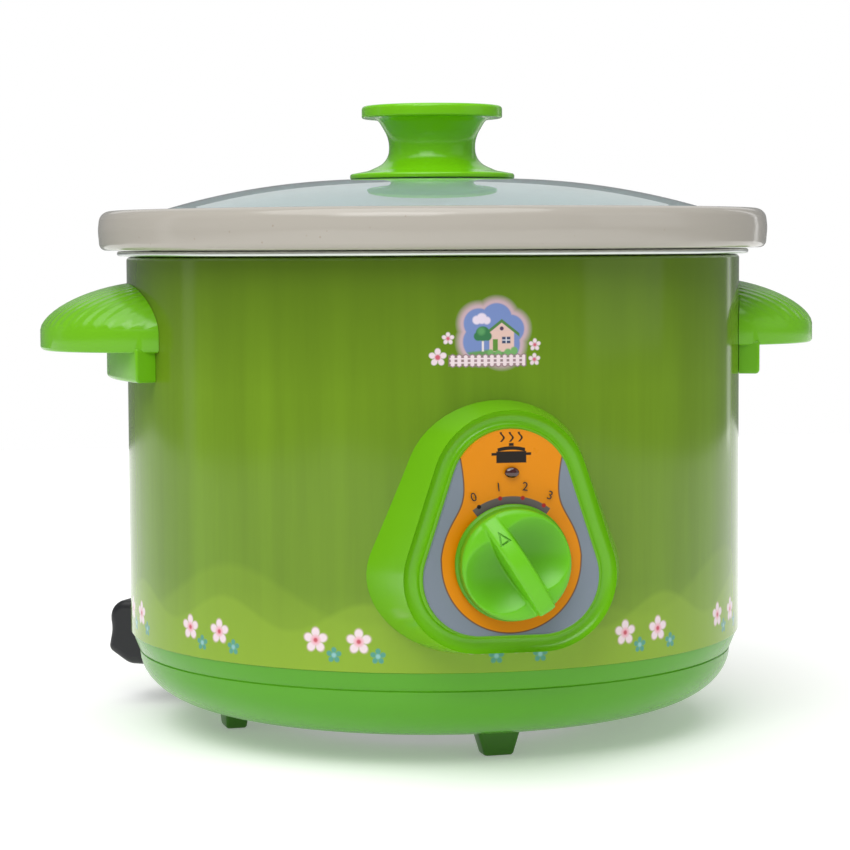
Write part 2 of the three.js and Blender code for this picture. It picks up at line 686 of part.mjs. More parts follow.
function lidKnob() {
  const bottom = LID_KNOB_BOTTOM;
  const neck = LID_KNOB_NECK;
  const flange = LID_KNOB_FLANGE;
  const top = LID_KNOB_TOP;
  const height = LID_KNOB_HEIGHT;
  const bore = LID_SCREW_RADIUS + SLIP_GAP;
  const spool = revolve(
    [
      [0, 0],
      [flange, 0],
      [flange, 1.3],
      [flange - 1, 2.3],
      [flange - 7.5, 3.4],
      [neck + 3.2, 5.2],
      [neck + 0.8, 7.5],
      [neck, 10.5],
      [neck + 0.1, height - 13.7],
      [neck + 1, height - 10.2],
      [neck + 2.7, height - 7.2],
      [neck + 5.3, height - 4.6],
      [top - 0.6, height - 4.5],
      [top, height - 3.9],
      [top, height - 1.2],
      [top - 0.8, height - 0.5],
      [0, height],
    ],
    ROUND_STEPS,
  );
  const hollow = tube(bore + 2.5, neck - 3, -1, height - 6, ROUND_STEPS);
  return cut(spool, hollow, rod(bore, -1, height - 6)).translate(0, 0, bottom);
}

function lidWasher() {
  const top = LID_LAND - LID_THICKNESS - SEAT_GAP;
  return tube(LID_SCREW_RADIUS + SLIP_GAP, LID_WASHER_RADIUS, LID_WASHER_BOTTOM, top, 20);
}

function lidScrew() {
  return panScrew(LID_SCREW_LENGTH, LID_SCREW_RADIUS, LID_SCREW_HEAD).translate(
    0,
    0,
    LID_WASHER_BOTTOM - SEAT_GAP,
  );
}

// ---- Side handles, made at the front of the pot and turned to its sides ----

// A rounded D in plan, its straight side inside the drum.
function handlePlan(inset, steps = 14) {
  const plan = new THREE.Shape();
  const reach = HANDLE_REACH - HANDLE_ROOT_REACH - inset;
  const half = HANDLE_HALF_WIDTH - inset;
  plan.moveTo(half, -HANDLE_ROOT_REACH + 15);
  for (let index = 0; index <= steps; index += 1) {
    const angle = (index / steps) * Math.PI;
    const along = Math.sin(angle) ** (2 / HANDLE_TIP_POWER);
    const across = Math.sign(Math.cos(angle)) * Math.abs(Math.cos(angle)) ** (2 / HANDLE_SIDE_POWER);
    plan.lineTo(half * across, -HANDLE_ROOT_REACH - reach * along);
  }
  plan.lineTo(-half, -HANDLE_ROOT_REACH + 15);
  return plan;
}

// The crown's height over the flank, at a share of the way out to its edge.
function crownHeight(share, power) {
  return HANDLE_CROWN * (1 - Math.min(1, share) ** power) ** HANDLE_CROWN_POWER;
}

function handleCrownAlong(steps = 9) {
  const side = new THREE.Shape();
  const edge = HANDLE_BOTTOM + HANDLE_EDGE_HEIGHT;
  side.moveTo(-HANDLE_REACH, HANDLE_BOTTOM);
  side.lineTo(-HANDLE_ROOT_REACH + 15, HANDLE_BOTTOM);
  side.lineTo(-HANDLE_ROOT_REACH + 15, edge + HANDLE_CROWN);
  for (let index = 0; index <= steps; index += 1) {
    const share = index / steps;
    const out = HANDLE_ROOT_REACH + share * (HANDLE_REACH - HANDLE_ROOT_REACH);
    side.lineTo(-out, edge + crownHeight(share, HANDLE_TIP_POWER));
  }
  return profileSlab(side, 4 * HANDLE_HALF_WIDTH);
}

function handleCrownAcross(steps = 9) {
  const face = new THREE.Shape();
  const edge = HANDLE_BOTTOM + HANDLE_EDGE_HEIGHT;
  face.moveTo(-HANDLE_HALF_WIDTH, HANDLE_BOTTOM);
  face.lineTo(HANDLE_HALF_WIDTH, HANDLE_BOTTOM);
  for (let index = -steps; index <= steps; index += 1) {
    const share = -Math.sin(((index / steps) * Math.PI) / 2);
    face.lineTo(share * HANDLE_HALF_WIDTH, edge + crownHeight(Math.abs(share), HANDLE_SIDE_POWER));
  }
  return slab(face, -HANDLE_REACH - 10, -HANDLE_ROOT_REACH + 20);
}

function planSlab(plan, bottom, top) {
  return new THREE.ExtrudeGeometry(plan, { depth: top - bottom, bevelEnabled: false }).translate(
    0,
    0,
    bottom,
  );
}

function sideHandle() {
  const top = HANDLE_BOTTOM + HANDLE_EDGE_HEIGHT + HANDLE_CROWN;
  const lugBottom = HANDLE_BOTTOM - HANDLE_LUG_DROP;
  const rootOuter = SHELL_RADIUS + HANDLE_ROOT_THICKNESS;
  const grip = overlap(
    planSlab(handlePlan(0), HANDLE_BOTTOM, top + 1),
    handleCrownAlong(),
    handleCrownAcross(),
  );
  const lug = overlap(
    rod(rootOuter, lugBottom, HANDLE_BOTTOM + 2, BODY_STEPS),
    block([2 * HANDLE_HALF_WIDTH, 100, 100], [0, -rootOuter, HANDLE_BOTTOM]),
  );
  const recess = cut(
    planSlab(handlePlan(HANDLE_WALL), HANDLE_BOTTOM - 1, HANDLE_BOTTOM + HANDLE_RECESS_DEPTH),
    rod(rootOuter, lugBottom - 1, top, BODY_STEPS),
  );
  const drum = rod(SHELL_RADIUS + SEAT_GAP, 0, 2 * top, BODY_STEPS);
  const pilots = [-1, 1].map((side) =>
    barrel(SCREW_RADIUS + SLIP_GAP, -SHELL_RADIUS - HANDLE_SCREW_LENGTH, -SHELL_RADIUS + 20, [
      side * HANDLE_SCREW_SPREAD,
      HANDLE_SCREW_HEIGHT,
    ]),
  );
  return cut(join(grip, lug), recess, drum, ...pilots);
}

function handleScrew(side) {
  const seat = -HANDLE_SCREW_SEAT;
  return panScrew(HANDLE_SCREW_LENGTH - 2)
    .rotateX(Math.PI / 2)
    .translate(side * HANDLE_SCREW_SPREAD, seat, HANDLE_SCREW_HEIGHT);
}

// ---- Control housing, panel, switch and knob ----

// A triangle with three round corners: the convex outline round one circle over two others.
function panelOutline(offset) {
  const outline = new THREE.Shape();
  const top = PANEL_TOP_ROUND + offset;
  const corner = PANEL_CORNER_ROUND + offset;
  const run = new THREE.Vector2(PANEL_CORNER_SPREAD, -PANEL_TOP_RISE - PANEL_CORNER_DROP);
  const slope = run.angle() + Math.acos((top - corner) / run.length());
  const highest = PANEL_CENTRE + PANEL_TOP_RISE;
  const lowest = PANEL_CENTRE - PANEL_CORNER_DROP;
  const tangent = slope - 2 * Math.PI;
  outline.absarc(0, highest, top, tangent, Math.PI - tangent);
  outline.absarc(-PANEL_CORNER_SPREAD, lowest, corner, Math.PI - tangent, 1.5 * Math.PI);
  outline.absarc(PANEL_CORNER_SPREAD, lowest, corner, -0.5 * Math.PI, tangent);
  return outline;
}

// The outline pushed back from the front face, growing as it goes.
function drafted(offset, front, back, round = 0) {
  const bevel = round
    ? { bevelEnabled: true, bevelThickness: round, bevelSize: round, bevelOffset: -round, bevelSegments: 2 }
    : {};
  const geometry = slab(panelOutline(offset), front + round, back, bevel);
  const place = geometry.getAttribute("position");
  for (let index = 0; index < place.count; index += 1) {
    const depth = Math.max(0, place.getY(index) - front);
    const height = place.getZ(index) - PANEL_CENTRE;
    place.setX(index, place.getX(index) * (1 + HOUSING_DRAFT[0] * depth));
    place.setZ(index, PANEL_CENTRE + height * (1 + HOUSING_DRAFT[1] * depth));
  }
  return geometry;
}

function lampHole(halfSizes, front, back) {
  return barrel(1, front, back, [0, 0], 16)
    .scale(halfSizes[0], 1, halfSizes[1])
    .translate(0, 0, LAMP_HEIGHT);
}

function controlHousing() {
  const back = -SHELL_RADIUS / 2;
  const shell = cut(
    drafted(HOUSING_RIM, -PANEL_FACE, back, HOUSING_ROUND),
    drafted(HOUSING_RIM - HOUSING_WALL, -PANEL_BACK, back + 5),
    slab(panelOutline(0), -PANEL_FACE - 5, -PANEL_FLOOR),
  );
  const bosses = HOUSING_SCREWS.map(([x, rise]) =>
    barrel(HOUSING_BOSS_RADIUS, -PANEL_BACK - 1, back, [x, PANEL_CENTRE + rise]),
  );
  const pilots = HOUSING_SCREWS.map(([x, rise]) =>
    barrel(SCREW_RADIUS + SLIP_GAP, -PANEL_BACK + 1, back, [x, PANEL_CENTRE + rise]),
  );
  const bushing = barrel(BUSHING_RADIUS + SLIP_GAP, -PANEL_FACE, back, [0, KNOB_AXIS_HEIGHT]);
  const lamp = lampHole([LAMP_RADIUS + SLIP_GAP, LAMP_RADIUS + SLIP_GAP], -PANEL_FACE, back);
  const drum = rod(SHELL_RADIUS + SEAT_GAP, 0, SHELL_TOP, BODY_STEPS);
  return cut(join(shell, ...bosses), ...pilots, bushing, lamp, drum);
}

function controlPanel() {
  const back = -PANEL_FLOOR - SEAT_GAP;
  return cut(
    slab(panelOutline(-SEAT_GAP), back - PANEL_THICKNESS, back),
    barrel(BUSHING_RADIUS + SLIP_GAP, -PANEL_FACE - 5, back + 1, [0, KNOB_AXIS_HEIGHT]),
    lampHole(LENS_HALF_SIZE.map((half) => half + SLIP_GAP), -PANEL_FACE - 5, back + 1),
  );
}

// The lens shows through the panel, and its collar stays behind it in the housing's hole.
function indicatorLens() {
  const front = -PANEL_FRONT - 0.5;
  const collarFront = -PANEL_FLOOR;
  const face = lampHole(LENS_HALF_SIZE, front, collarFront + 0.5);
  const collar = lampHole([LAMP_RADIUS, LAMP_RADIUS], collarFront, -PANEL_BACK);
  return join(face, collar);
}

function neonLamp() {
  const front = -PANEL_BACK + SEAT_GAP;
  return barrel(LAMP_RADIUS, front, front + LAMP_LENGTH, [0, LAMP_HEIGHT], 12);
}

function rotarySwitch() {
  const [width, height, depth] = SWITCH_SIZE;
  const front = -PANEL_BACK + SEAT_GAP;
  const body = block([width, depth, height], [0, front + depth / 2, KNOB_AXIS_HEIGHT]);
  const bushing = barrel(BUSHING_RADIUS, -BUSHING_FRONT, front + 1, [0, KNOB_AXIS_HEIGHT]);
  const bore = barrel(SHAFT_RADIUS + SLIP_GAP, -BUSHING_FRONT - 1, -SHAFT_BACK + 1, [0, KNOB_AXIS_HEIGHT]);
  return cut(join(body, bushing), bore);
}

function switchNut() {
  const [cornerRadius, thickness] = SWITCH_NUT;
  return hexNut(cornerRadius, BUSHING_RADIUS + SLIP_GAP, 0, thickness);
}

// A round bar with one flat, as the shaft and as the bore that fits it.
function flattedBar(radius, bottom, top) {
  const beyond = block(
    [2 * radius, 2 * radius, top - bottom + 2],
    [0, radius * 1.6, (top + bottom) / 2],
  );
  return cut(rod(radius, bottom, top), beyond);
}

function controlKnob() {
  const face = KNOB_FACE_HEIGHT;
  const rim = KNOB_BODY_RADIUS - KNOB_RIM;
  const body = revolve(
    [
      [0, 0],
      [KNOB_FLANGE_RADIUS, 0],
      [KNOB_FLANGE_RADIUS, KNOB_FLANGE_THICKNESS - 0.6],
      [KNOB_BODY_RADIUS, KNOB_FLANGE_THICKNESS],
      [KNOB_BODY_RADIUS, face - 1],
      [KNOB_BODY_RADIUS - 1, face],
      [rim, face],
      [rim - 3, face - KNOB_DISH_DEPTH * 0.4],
      [rim - 8, face - KNOB_DISH_DEPTH * 0.85],
      [0, face - KNOB_DISH_DEPTH],
    ],
    ROUND_STEPS,
  );
  const bar = knobBar();
  const nutRoom = rod(SWITCH_NUT[0] + 1.4, -1, KNOB_NUT_ROOM, 20);
  return cut(join(body, bar), nutRoom, flattedBar(SHAFT_RADIUS + SLIP_GAP, 0, KNOB_HEIGHT - 4));
}

// The grip: a bar across the dish whose crest is an arc from rim to rim.
function knobBar() {
  const half = KNOB_BODY_RADIUS - 0.4;
  const low = KNOB_FACE_HEIGHT + 0.6;
  const side = new THREE.Shape();
  side.moveTo(-half, KNOB_FACE_HEIGHT - KNOB_DISH_DEPTH - 0.6);
  side.lineTo(half, KNOB_FACE_HEIGHT - KNOB_DISH_DEPTH - 0.6);
  side.lineTo(half, low);
  side.quadraticCurveTo(0, 2 * KNOB_HEIGHT - low, -half, low);
  const wide = profileSlab(side, KNOB_BAR_WIDTH);
  const round = rod(KNOB_BODY_RADIUS - 0.2, 0, KNOB_HEIGHT + 1, ROUND_STEPS);
  return overlap(wide, round);
}

// ---- Power inlet, made at the front of the pot and turned to its angle ----

function inletSpigot(grown) {
  const [width, height] = INLET_SPIGOT;
  return block(
    [width + 2 * grown, 16, height + 2 * grown],
    [0, -INLET_SPIGOT_BACK - 8 + grown, INLET_CENTRE],
  );
}

function inletShroud() {
  const [width, height] = INLET_SIZE;
  const top = INLET_CENTRE + height / 2;
  const bottom = INLET_CENTRE - height / 2;
  const face = -INLET_REACH;
  const side = new THREE.Shape();
  side.moveTo(-BASE_FLAT_RADIUS, bottom - 2);
  side.lineTo(-BASE_FLAT_RADIUS, top);
  side.lineTo(face + INLET_ROUND, top);
  side.quadraticCurveTo(face, top, face, top - INLET_ROUND);
  side.quadraticCurveTo(face + 2, INLET_CENTRE, face + 0.5, INLET_CENTRE - INLET_ROUND / 2);
  side.quadraticCurveTo(face, bottom + 1, face + 1.5 * INLET_ROUND, bottom);
  const skin = revolve([[0, BASE_BOTTOM], ...baseSkin(SEAT_GAP), [0, SEAM]]);
  const drum = rod(SHELL_RADIUS + SEAT_GAP, SEAM - 1, SHELL_TOP, BODY_STEPS);
  const hood = cut(turned(profileSlab(side, width), INLET_ANGLE), skin, drum);
  const [socketWidth, socketHeight] = SOCKET_SIZE;
  const socket = block(
    [socketWidth, SOCKET_DEPTH + 10, socketHeight],
    [0, face + SOCKET_DEPTH / 2 - 5, INLET_CENTRE],
  );
  const slots = inletPinPlaces().map((place) => inletPin(place, SLIP_GAP));
  const screws = [-1, 1].map((spread) =>
    barrel(SCREW_RADIUS + SLIP_GAP, -INLET_SCREW_SEAT - INLET_SCREW_LENGTH - 1, 0, [
      spread * INLET_SCREW_SPREAD,
      INLET_CENTRE,
    ]),
  );
  const holes = [socket, ...slots, ...screws].map((tool) => turned(tool, INLET_ANGLE));
  return cut(join(hood, turned(inletSpigot(0), INLET_ANGLE)), ...holes);
}

function inletPinPlaces() {
  return [
    [-PIN_SPREAD, PIN_OFFSET],
    [PIN_SPREAD, PIN_OFFSET],
    [0, -PIN_OFFSET],
  ];
}

function inletPin([x, rise], grown = 0) {
  const [width, height] = PIN_SIZE;
  return block(
    [width + 2 * grown, PIN_LENGTH, height + 2 * grown],
    [x, -INLET_PIN_BACK - PIN_LENGTH / 2, INLET_CENTRE + rise],
  );
}

function inletScrew(side) {
  return panScrew(INLET_SCREW_LENGTH)
    .rotateX(Math.PI / 2)
    .translate(side * INLET_SCREW_SPREAD, -INLET_SCREW_SEAT, INLET_CENTRE);
}

// ---- Assembly ----

const GREEN = { color: 0x6fb53c, roughness: 0.3 };
const STEEL = { color: 0xb9bcbe, roughness: 0.35, metalness: 1 };

// Each piece gets a material of its own.
function piece(name, geometry, finish) {
  const shown = geometry.index ? geometry.toNonIndexed() : geometry.clone();
  shown.computeVertexNormals();
  const mesh = new THREE.Mesh(shown, new THREE.MeshStandardMaterial(finish));
  mesh.name = name;
  return mesh;
}

function around(name, geometry, finish, degrees) {
  const mesh = piece(name, geometry, finish);
  mesh.rotation.z = THREE.MathUtils.degToRad(degrees);
  return mesh;
}

function body() {
  const group = new THREE.Group();
  group.add(
    piece("outer_shell", outerShell(), { color: 0x789a30, roughness: 0.18, metalness: 0.1 }),
    piece("base_bowl", baseBowl(), GREEN),
    piece("bottom_cover", bottomCover(), STEEL),
    piece("heater_liner", heaterLiner(), STEEL),
  );
  coverScrewAngles().forEach((angle, index) =>
    group.add(around(`cover_screw_${index + 1}`, coverScrew(), STEEL, angle)),
  );
  const footNames = ["front", "right", "rear", "left"];
  footAngles().forEach((angle, index) =>
    group.add(around(`foot_${footNames[index]}`, foot(), GREEN, angle)),
  );
  return group;
}

function heatingUnit() {
  const group = new THREE.Group();
  const mica = { color: 0xb9a176, roughness: 0.8 };
  const [thermostatAngle, thermostatRadius] = THERMOSTAT_PLACE;
  const [fuseAngle, fuseRadius] = FUSE_PLACE;
  const outTo = (radius, geometry) => geometry.translate(0, -radius, 0);
  const clip = strap(2 * THERMOSTAT_RADIUS + 1, THERMOSTAT_HEIGHT + 2);
  const clamp = strap(2 * FUSE_RADIUS + 1, 2 * FUSE_RADIUS + 2);
  const plateNutBottom = HEATER_PLATE_BOTTOM - SEAT_GAP - NUT_HEIGHT;
  group.add(
    piece("band_heater", bandHeater(), mica),
    piece("insulation_sleeve", insulationSleeve(), { color: 0xe6e2d6, roughness: 1 }),
    piece("floor_heater", floorHeater(), mica),
    piece("heater_plate", heaterPlate(), STEEL),
    piece("tie_bolt", tieBolt(), STEEL),
    piece("plate_nut", hexNut(NUT_RADIUS, TIE_RADIUS + SLIP_GAP, plateNutBottom, NUT_HEIGHT), STEEL),
    piece("tie_washer", tieWasher(), STEEL),
    piece("tie_nut", hexNut(NUT_RADIUS, TIE_RADIUS + SLIP_GAP, TIE_NUT_BOTTOM, NUT_HEIGHT), STEEL),
    around("thermostat", outTo(thermostatRadius, thermostat()), { color: 0x6b4a2e }, thermostatAngle),
    around("thermostat_clip", outTo(thermostatRadius, clip), STEEL, thermostatAngle),
    around("thermal_fuse", outTo(fuseRadius, thermalFuse()), STEEL, fuseAngle),
    around("fuse_clamp", outTo(fuseRadius, clamp), STEEL, fuseAngle),
    around("terminal_block", outTo(TERMINAL_RADIUS, terminalBlock()), { color: 0xece8dc }, TERMINAL_ANGLE),
  );
  return group;
}

// A point on the inlet's centre plane, by its offset from it, its distance from the pot and its height.
function inletPoint(offset, distance, height) {
  const turn = THREE.MathUtils.degToRad(INLET_ANGLE);
  return new THREE.Vector3(offset, -distance, height).applyAxisAngle(new THREE.Vector3(0, 0, 1), turn);
}

function leads() {
  const group = new THREE.Group();
  const wall = GROOVE_RADIUS - BASE_WALL;
  const low = BASE_FLOOR + 6.4;
  const pinEnd = INLET_PIN_BACK - 0.9;
  const pinHigh = INLET_CENTRE + PIN_OFFSET;
  const pinLow = INLET_CENTRE - PIN_OFFSET;
  const switchMiddle = PANEL_BACK - SEAT_GAP - SWITCH_SIZE[2] / 2;
  const switchBottom = KNOB_AXIS_HEIGHT - SWITCH_SIZE[1] / 2;
  const switchTop = KNOB_AXIS_HEIGHT + SWITCH_SIZE[1] / 2;
  const blockHalf = THREE.MathUtils.radToDeg(Math.atan(TERMINAL_BLOCK[0] / 2 / TERMINAL_RADIUS)) + 0.6;
  const lampBack = PANEL_BACK - SEAT_GAP - LAMP_LENGTH;
  const live = [
    inletPoint(PIN_SPREAD, pinEnd, pinHigh),
    inletPoint(7.6, wall - 11, pinHigh - 1.5),
    polar(-110, wall - 12.1, low + 5),
    polar(-90, wall - 12.6, low + 3),
    polar(-70, wall - 12.6, low + 2),
    polar(-50, wall - 12.6, low + 2),
    polar(-30, wall - 11.6, low + 3),
    polar(-16, wall - 7.6, low + 9),
    polar(-9, SHELL_INNER - 7.5, SEAM + 3),
    polar(-6, SHELL_INNER - 4, SEAM + 12),
    polar(-4, SHELL_INNER - 1, switchBottom - 7.4),
    new THREE.Vector3(-6, -SHELL_RADIUS - 3, switchBottom - 4.9),
    new THREE.Vector3(-6, -switchMiddle + 1.5, switchBottom - 2.9),
    new THREE.Vector3(-6, -switchMiddle + 1, switchBottom - 0.4),
  ];
  const neutral = [
    inletPoint(-PIN_SPREAD, pinEnd, pinHigh),
    inletPoint(-6.6, wall - 13.8, pinHigh - 1),
    inletPoint(-1.5, wall - 23.6, pinHigh - 1.5),
    polar(-112, TERMINAL_RADIUS + 6, low + 7),
    polar(-98, TERMINAL_RADIUS + 3, low + 2),
    polar(-86, TERMINAL_RADIUS + 1.5, low),
    polar(TERMINAL_ANGLE - blockHalf, TERMINAL_RADIUS + 1.4, low),
  ];
  const earth = [
    inletPoint(0, pinEnd, pinLow),
    inletPoint(0.8, wall - 14.6, pinLow - 1),
    polar(-131, TERMINAL_RADIUS + 1, low + 7),
    polar(-142, 46, low + 12),
    polar(-150, 22, HEATER_PLATE_BOTTOM - 7.4),
    polar(-150, 9, HEATER_PLATE_BOTTOM - 4.9),
    polar(-150, NUT_RADIUS + 0.2, HEATER_PLATE_BOTTOM - 5.2),
  ];
  const heater = [
    polar(TERMINAL_ANGLE + blockHalf, TERMINAL_RADIUS + 1.4, low),
    polar(-46, TERMINAL_RADIUS + 5, low + 1),
    polar(-42, wall - 17.6, low + 10),
    polar(-40, wall - 6.6, SEAM + 5),
    polar(-39, SHELL_INNER - 6, SEAM + 17),
    polar(-39, SHELL_INNER - 4.7, SEAM + 24),
    polar(-39, SHELL_INNER - 4.6, BAND_HEATER_BOTTOM - SLEEVE_OVERLAP[0] - 2.5),
  ];
  const lamp = [
    new THREE.Vector3(0, -lampBack + 1.2, LAMP_HEIGHT - 0.8),
    new THREE.Vector3(1, -lampBack + 3, LAMP_HEIGHT - 2.8),
    new THREE.Vector3(3.5, -lampBack + 2.5, LAMP_HEIGHT - 7.8),
    new THREE.Vector3(5, -lampBack + 0.5, switchTop + 3.1),
    new THREE.Vector3(5, -lampBack, switchTop + 0.4),
  ];
  group.add(
    piece("live_lead", lead(live), { color: 0x7a3b1e, roughness: 0.6 }),
    piece("neutral_lead", lead(neutral), { color: 0x2c5fae, roughness: 0.6 }),
    piece("earth_lead", lead(earth), { color: 0x8fae2b, roughness: 0.6 }),
    piece("heater_lead", lead(heater), { color: 0xd8d5cc, roughness: 0.6 }),
    piece("lamp_lead", lead(lamp), { color: 0xb02020, roughness: 0.6 }),
  );
  return group;
}

function crockAndLid() {
  const group = new THREE.Group();
  const glass = { color: 0xbacdcb, roughness: 0.05, transparent: true, opacity: 0.45 };
  group.add(
    piece("crock", crock(), { color: 0xe6ded0, roughness: 0.15 }),
    piece("lid_glass", lidGlass(), glass),
    piece("lid_knob", lidKnob(), { ...GREEN, color: 0x78c42d }),
    piece("lid_washer", lidWasher(), { color: 0xd9d9d2, roughness: 0.8 }),
    piece("lid_screw", lidScrew(), STEEL),
  );
  return group;
}

function handles() {
  const group = new THREE.Group();
  const sides = { left: -90, right: 90 };
  Object.entries(sides).forEach(([side, angle]) =>
    group.add(
      around(`${side}_handle`, sideHandle(), GREEN, angle),
      around(`${side}_handle_screw_front`, handleScrew(side === "left" ? 1 : -1), STEEL, angle),
      around(`${side}_handle_screw_rear`, handleScrew(side === "left" ? -1 : 1), STEEL, angle),
    ),
  );
  return group;
}

function dial() {
  const outward = new THREE.Group();
  outward.rotation.x = Math.PI / 2;
  outward.position.set(0, -KNOB_BOTTOM, KNOB_AXIS_HEIGHT);
  const pointed = new THREE.Group();
  pointed.rotation.z = THREE.MathUtils.degToRad(-KNOB_POINTS_AT);
  const shaft = flattedBar(SHAFT_RADIUS, SHAFT_BACK + SLIP_GAP - KNOB_BOTTOM + 1, KNOB_HEIGHT - 5);
  pointed.add(
    piece("control_knob", controlKnob(), { ...GREEN, color: 0x74c832 }),
    piece("switch_shaft", shaft, STEEL),
  );
  const nut = piece("switch_nut", switchNut(), STEEL);
  nut.position.z = PANEL_FRONT + SEAT_GAP - KNOB_BOTTOM;
  outward.add(pointed, nut);
  return outward;
}

function controls() {
  const group = new THREE.Group();
  group.add(
    piece("control_housing", controlHousing(), GREEN),
    piece("control_panel", controlPanel(), { color: 0x7a828c, roughness: 0.4 }),
    piece("indicator_lens", indicatorLens(), { color: 0x4a0d0a, roughness: 0.2 }),
    piece("neon_lamp", neonLamp(), { color: 0xd86a3a, roughness: 0.2 }),
    piece("rotary_switch", rotarySwitch(), { color: 0x33302c, roughness: 0.6 }),
    dial(),
  );
  HOUSING_SCREWS.forEach(([x, rise], index) => {
    const screw = panScrew(HOUSING_SCREW_LENGTH).rotateX(Math.PI / 2);
    screw.translate(x, -screwSeat(x), PANEL_CENTRE + rise);
    group.add(piece(`housing_screw_${index + 1}`, screw, STEEL));
  });
  return group;
}

function powerInlet() {
  const group = new THREE.Group();
  const black = { color: 0x101114, roughness: 0.45 };
  const pinNames = ["neutral", "live", "earth"];
  group.add(
    piece("inlet_shroud", inletShroud(), black),
    around("inlet_screw_1", inletScrew(-1), STEEL, INLET_ANGLE),
    around("inlet_screw_2", inletScrew(1), STEEL, INLET_ANGLE),
  );
  inletPinPlaces().forEach((place, index) =>
    group.add(around(`inlet_pin_${pinNames[index]}`, inletPin(place), STEEL, INLET_ANGLE)),
  );
  return group;
}

const pot = new THREE.Group();
pot.position.y = POT_AXIS_Y;
pot.add(body(), heatingUnit(), leads(), crockAndLid(), handles(), controls(), powerInlet());

const slowCooker = new THREE.Group();
slowCooker.add(pot);

export default slowCooker;
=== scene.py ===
"""Round slow cooker: the looks, built round the CAD frame as a set of Blender tools."""

import math

import bpy
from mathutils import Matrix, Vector


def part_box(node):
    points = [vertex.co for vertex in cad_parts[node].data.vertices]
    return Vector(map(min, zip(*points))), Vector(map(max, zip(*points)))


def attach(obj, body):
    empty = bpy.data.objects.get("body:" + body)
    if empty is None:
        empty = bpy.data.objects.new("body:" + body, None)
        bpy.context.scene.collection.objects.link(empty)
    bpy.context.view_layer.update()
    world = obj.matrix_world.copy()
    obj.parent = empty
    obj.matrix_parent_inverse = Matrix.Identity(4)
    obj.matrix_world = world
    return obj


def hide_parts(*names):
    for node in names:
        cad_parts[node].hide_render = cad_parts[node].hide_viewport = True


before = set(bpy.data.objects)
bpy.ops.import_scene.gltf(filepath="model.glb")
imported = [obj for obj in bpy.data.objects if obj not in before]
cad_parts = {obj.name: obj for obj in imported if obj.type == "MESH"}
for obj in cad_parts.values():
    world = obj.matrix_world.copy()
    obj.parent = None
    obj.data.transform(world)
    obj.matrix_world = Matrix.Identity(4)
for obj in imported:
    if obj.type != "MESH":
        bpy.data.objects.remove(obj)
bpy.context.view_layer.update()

bl_info = {
    "name": "Slow Cooker",
    "version": (1, 0, 0),
    "blender": (4, 5, 0),
    "location": "3D View > Sidebar > Slow Cooker",
    "description": "Builds a round slow cooker with a crock, a glass lid and one dial",
    "category": "Object",
}

MM = 0.001
DRUM_LOW, DRUM_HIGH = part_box("outer_shell")
RIM_LOW, RIM_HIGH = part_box("crock")
KNOB_LOW, KNOB_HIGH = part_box("control_knob")
PANEL_LOW, PANEL_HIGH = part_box("control_panel")
AXIS = Vector(((DRUM_LOW.x + DRUM_HIGH.x) / 2, (DRUM_LOW.y + DRUM_HIGH.y) / 2, 0))
UP = Vector((0, 0, 1))
FRONT = Vector((0, -1, 0))
ROUND_STEPS = 128  # facets on a full turn of a large piece
SMALL_STEPS = 48
MIDDLE = Vector((0, 0, 0.11))  # what the lamps face
BASE_HEIGHT = 26  # millimetres, from the base's underside to its seam
BASE_FLAT = 83  # millimetres, radius of the base's flat underside
FOOT_TURN = 5  # degrees, from the cooker's front to the front foot
INLET_ANGLE = -122  # degrees, from the cooker's front to the inlet
DIAL_REST = -32  # degrees, where the dial's bar points at rest
NUMBERS_OUT = 25.0  # millimetres, from the dial's axis to its scale's numbers
SCALE_MARKS = (-30.5, -10.2, 10.2, 30.5)  # degrees round the dial, to the right of straight up


def linear(red, green, blue):
    """A colour picked as 0 to 255 values, as the numbers that a shader wants."""
    values = (red / 255, green / 255, blue / 255)
    return tuple(v / 12.92 if v <= 0.04045 else ((v + 0.055) / 1.055) ** 2.4 for v in values)


# ---- Sizes and colours that a user may change ----


def length(name, description, default):
    return bpy.props.FloatProperty(
        name=name, description=description, default=default, unit="LENGTH", precision=4
    )


def colour(name, description, red, green, blue):
    return bpy.props.FloatVectorProperty(
        name=name,
        description=description,
        default=linear(red, green, blue),
        subtype="COLOR",
        min=0,
        max=1,
    )


class CookerSizes(bpy.types.PropertyGroup):
    """Sizes of the cooker's visible pieces."""

    drum_radius: length("Drum radius", "Outside of the painted drum", (DRUM_HIGH.x - DRUM_LOW.x) / 2)
    drum_top: length("Drum top", "Height of the drum's top edge", DRUM_HIGH.z)
    seam: length("Seam", "Height where the drum meets the base", 0.035)
    rim_radius: length("Rim radius", "Outside of the crock's rim", (RIM_HIGH.x - RIM_LOW.x) / 2)
    rim_top: length("Rim top", "Height of the top of the crock's rim", RIM_HIGH.z)
    handle_reach: length("Handle reach", "From the cooker's axis to a handle's tip", 0.1458)
    handle_width: length("Handle width", "Half the width of a handle", 0.0415)
    dial_radius: length("Dial radius", "Outside of the dial's body", 0.0182)
    dial_height: length("Dial height", "Height of the dial's axis", (KNOB_LOW.z + KNOB_HIGH.z) / 2)


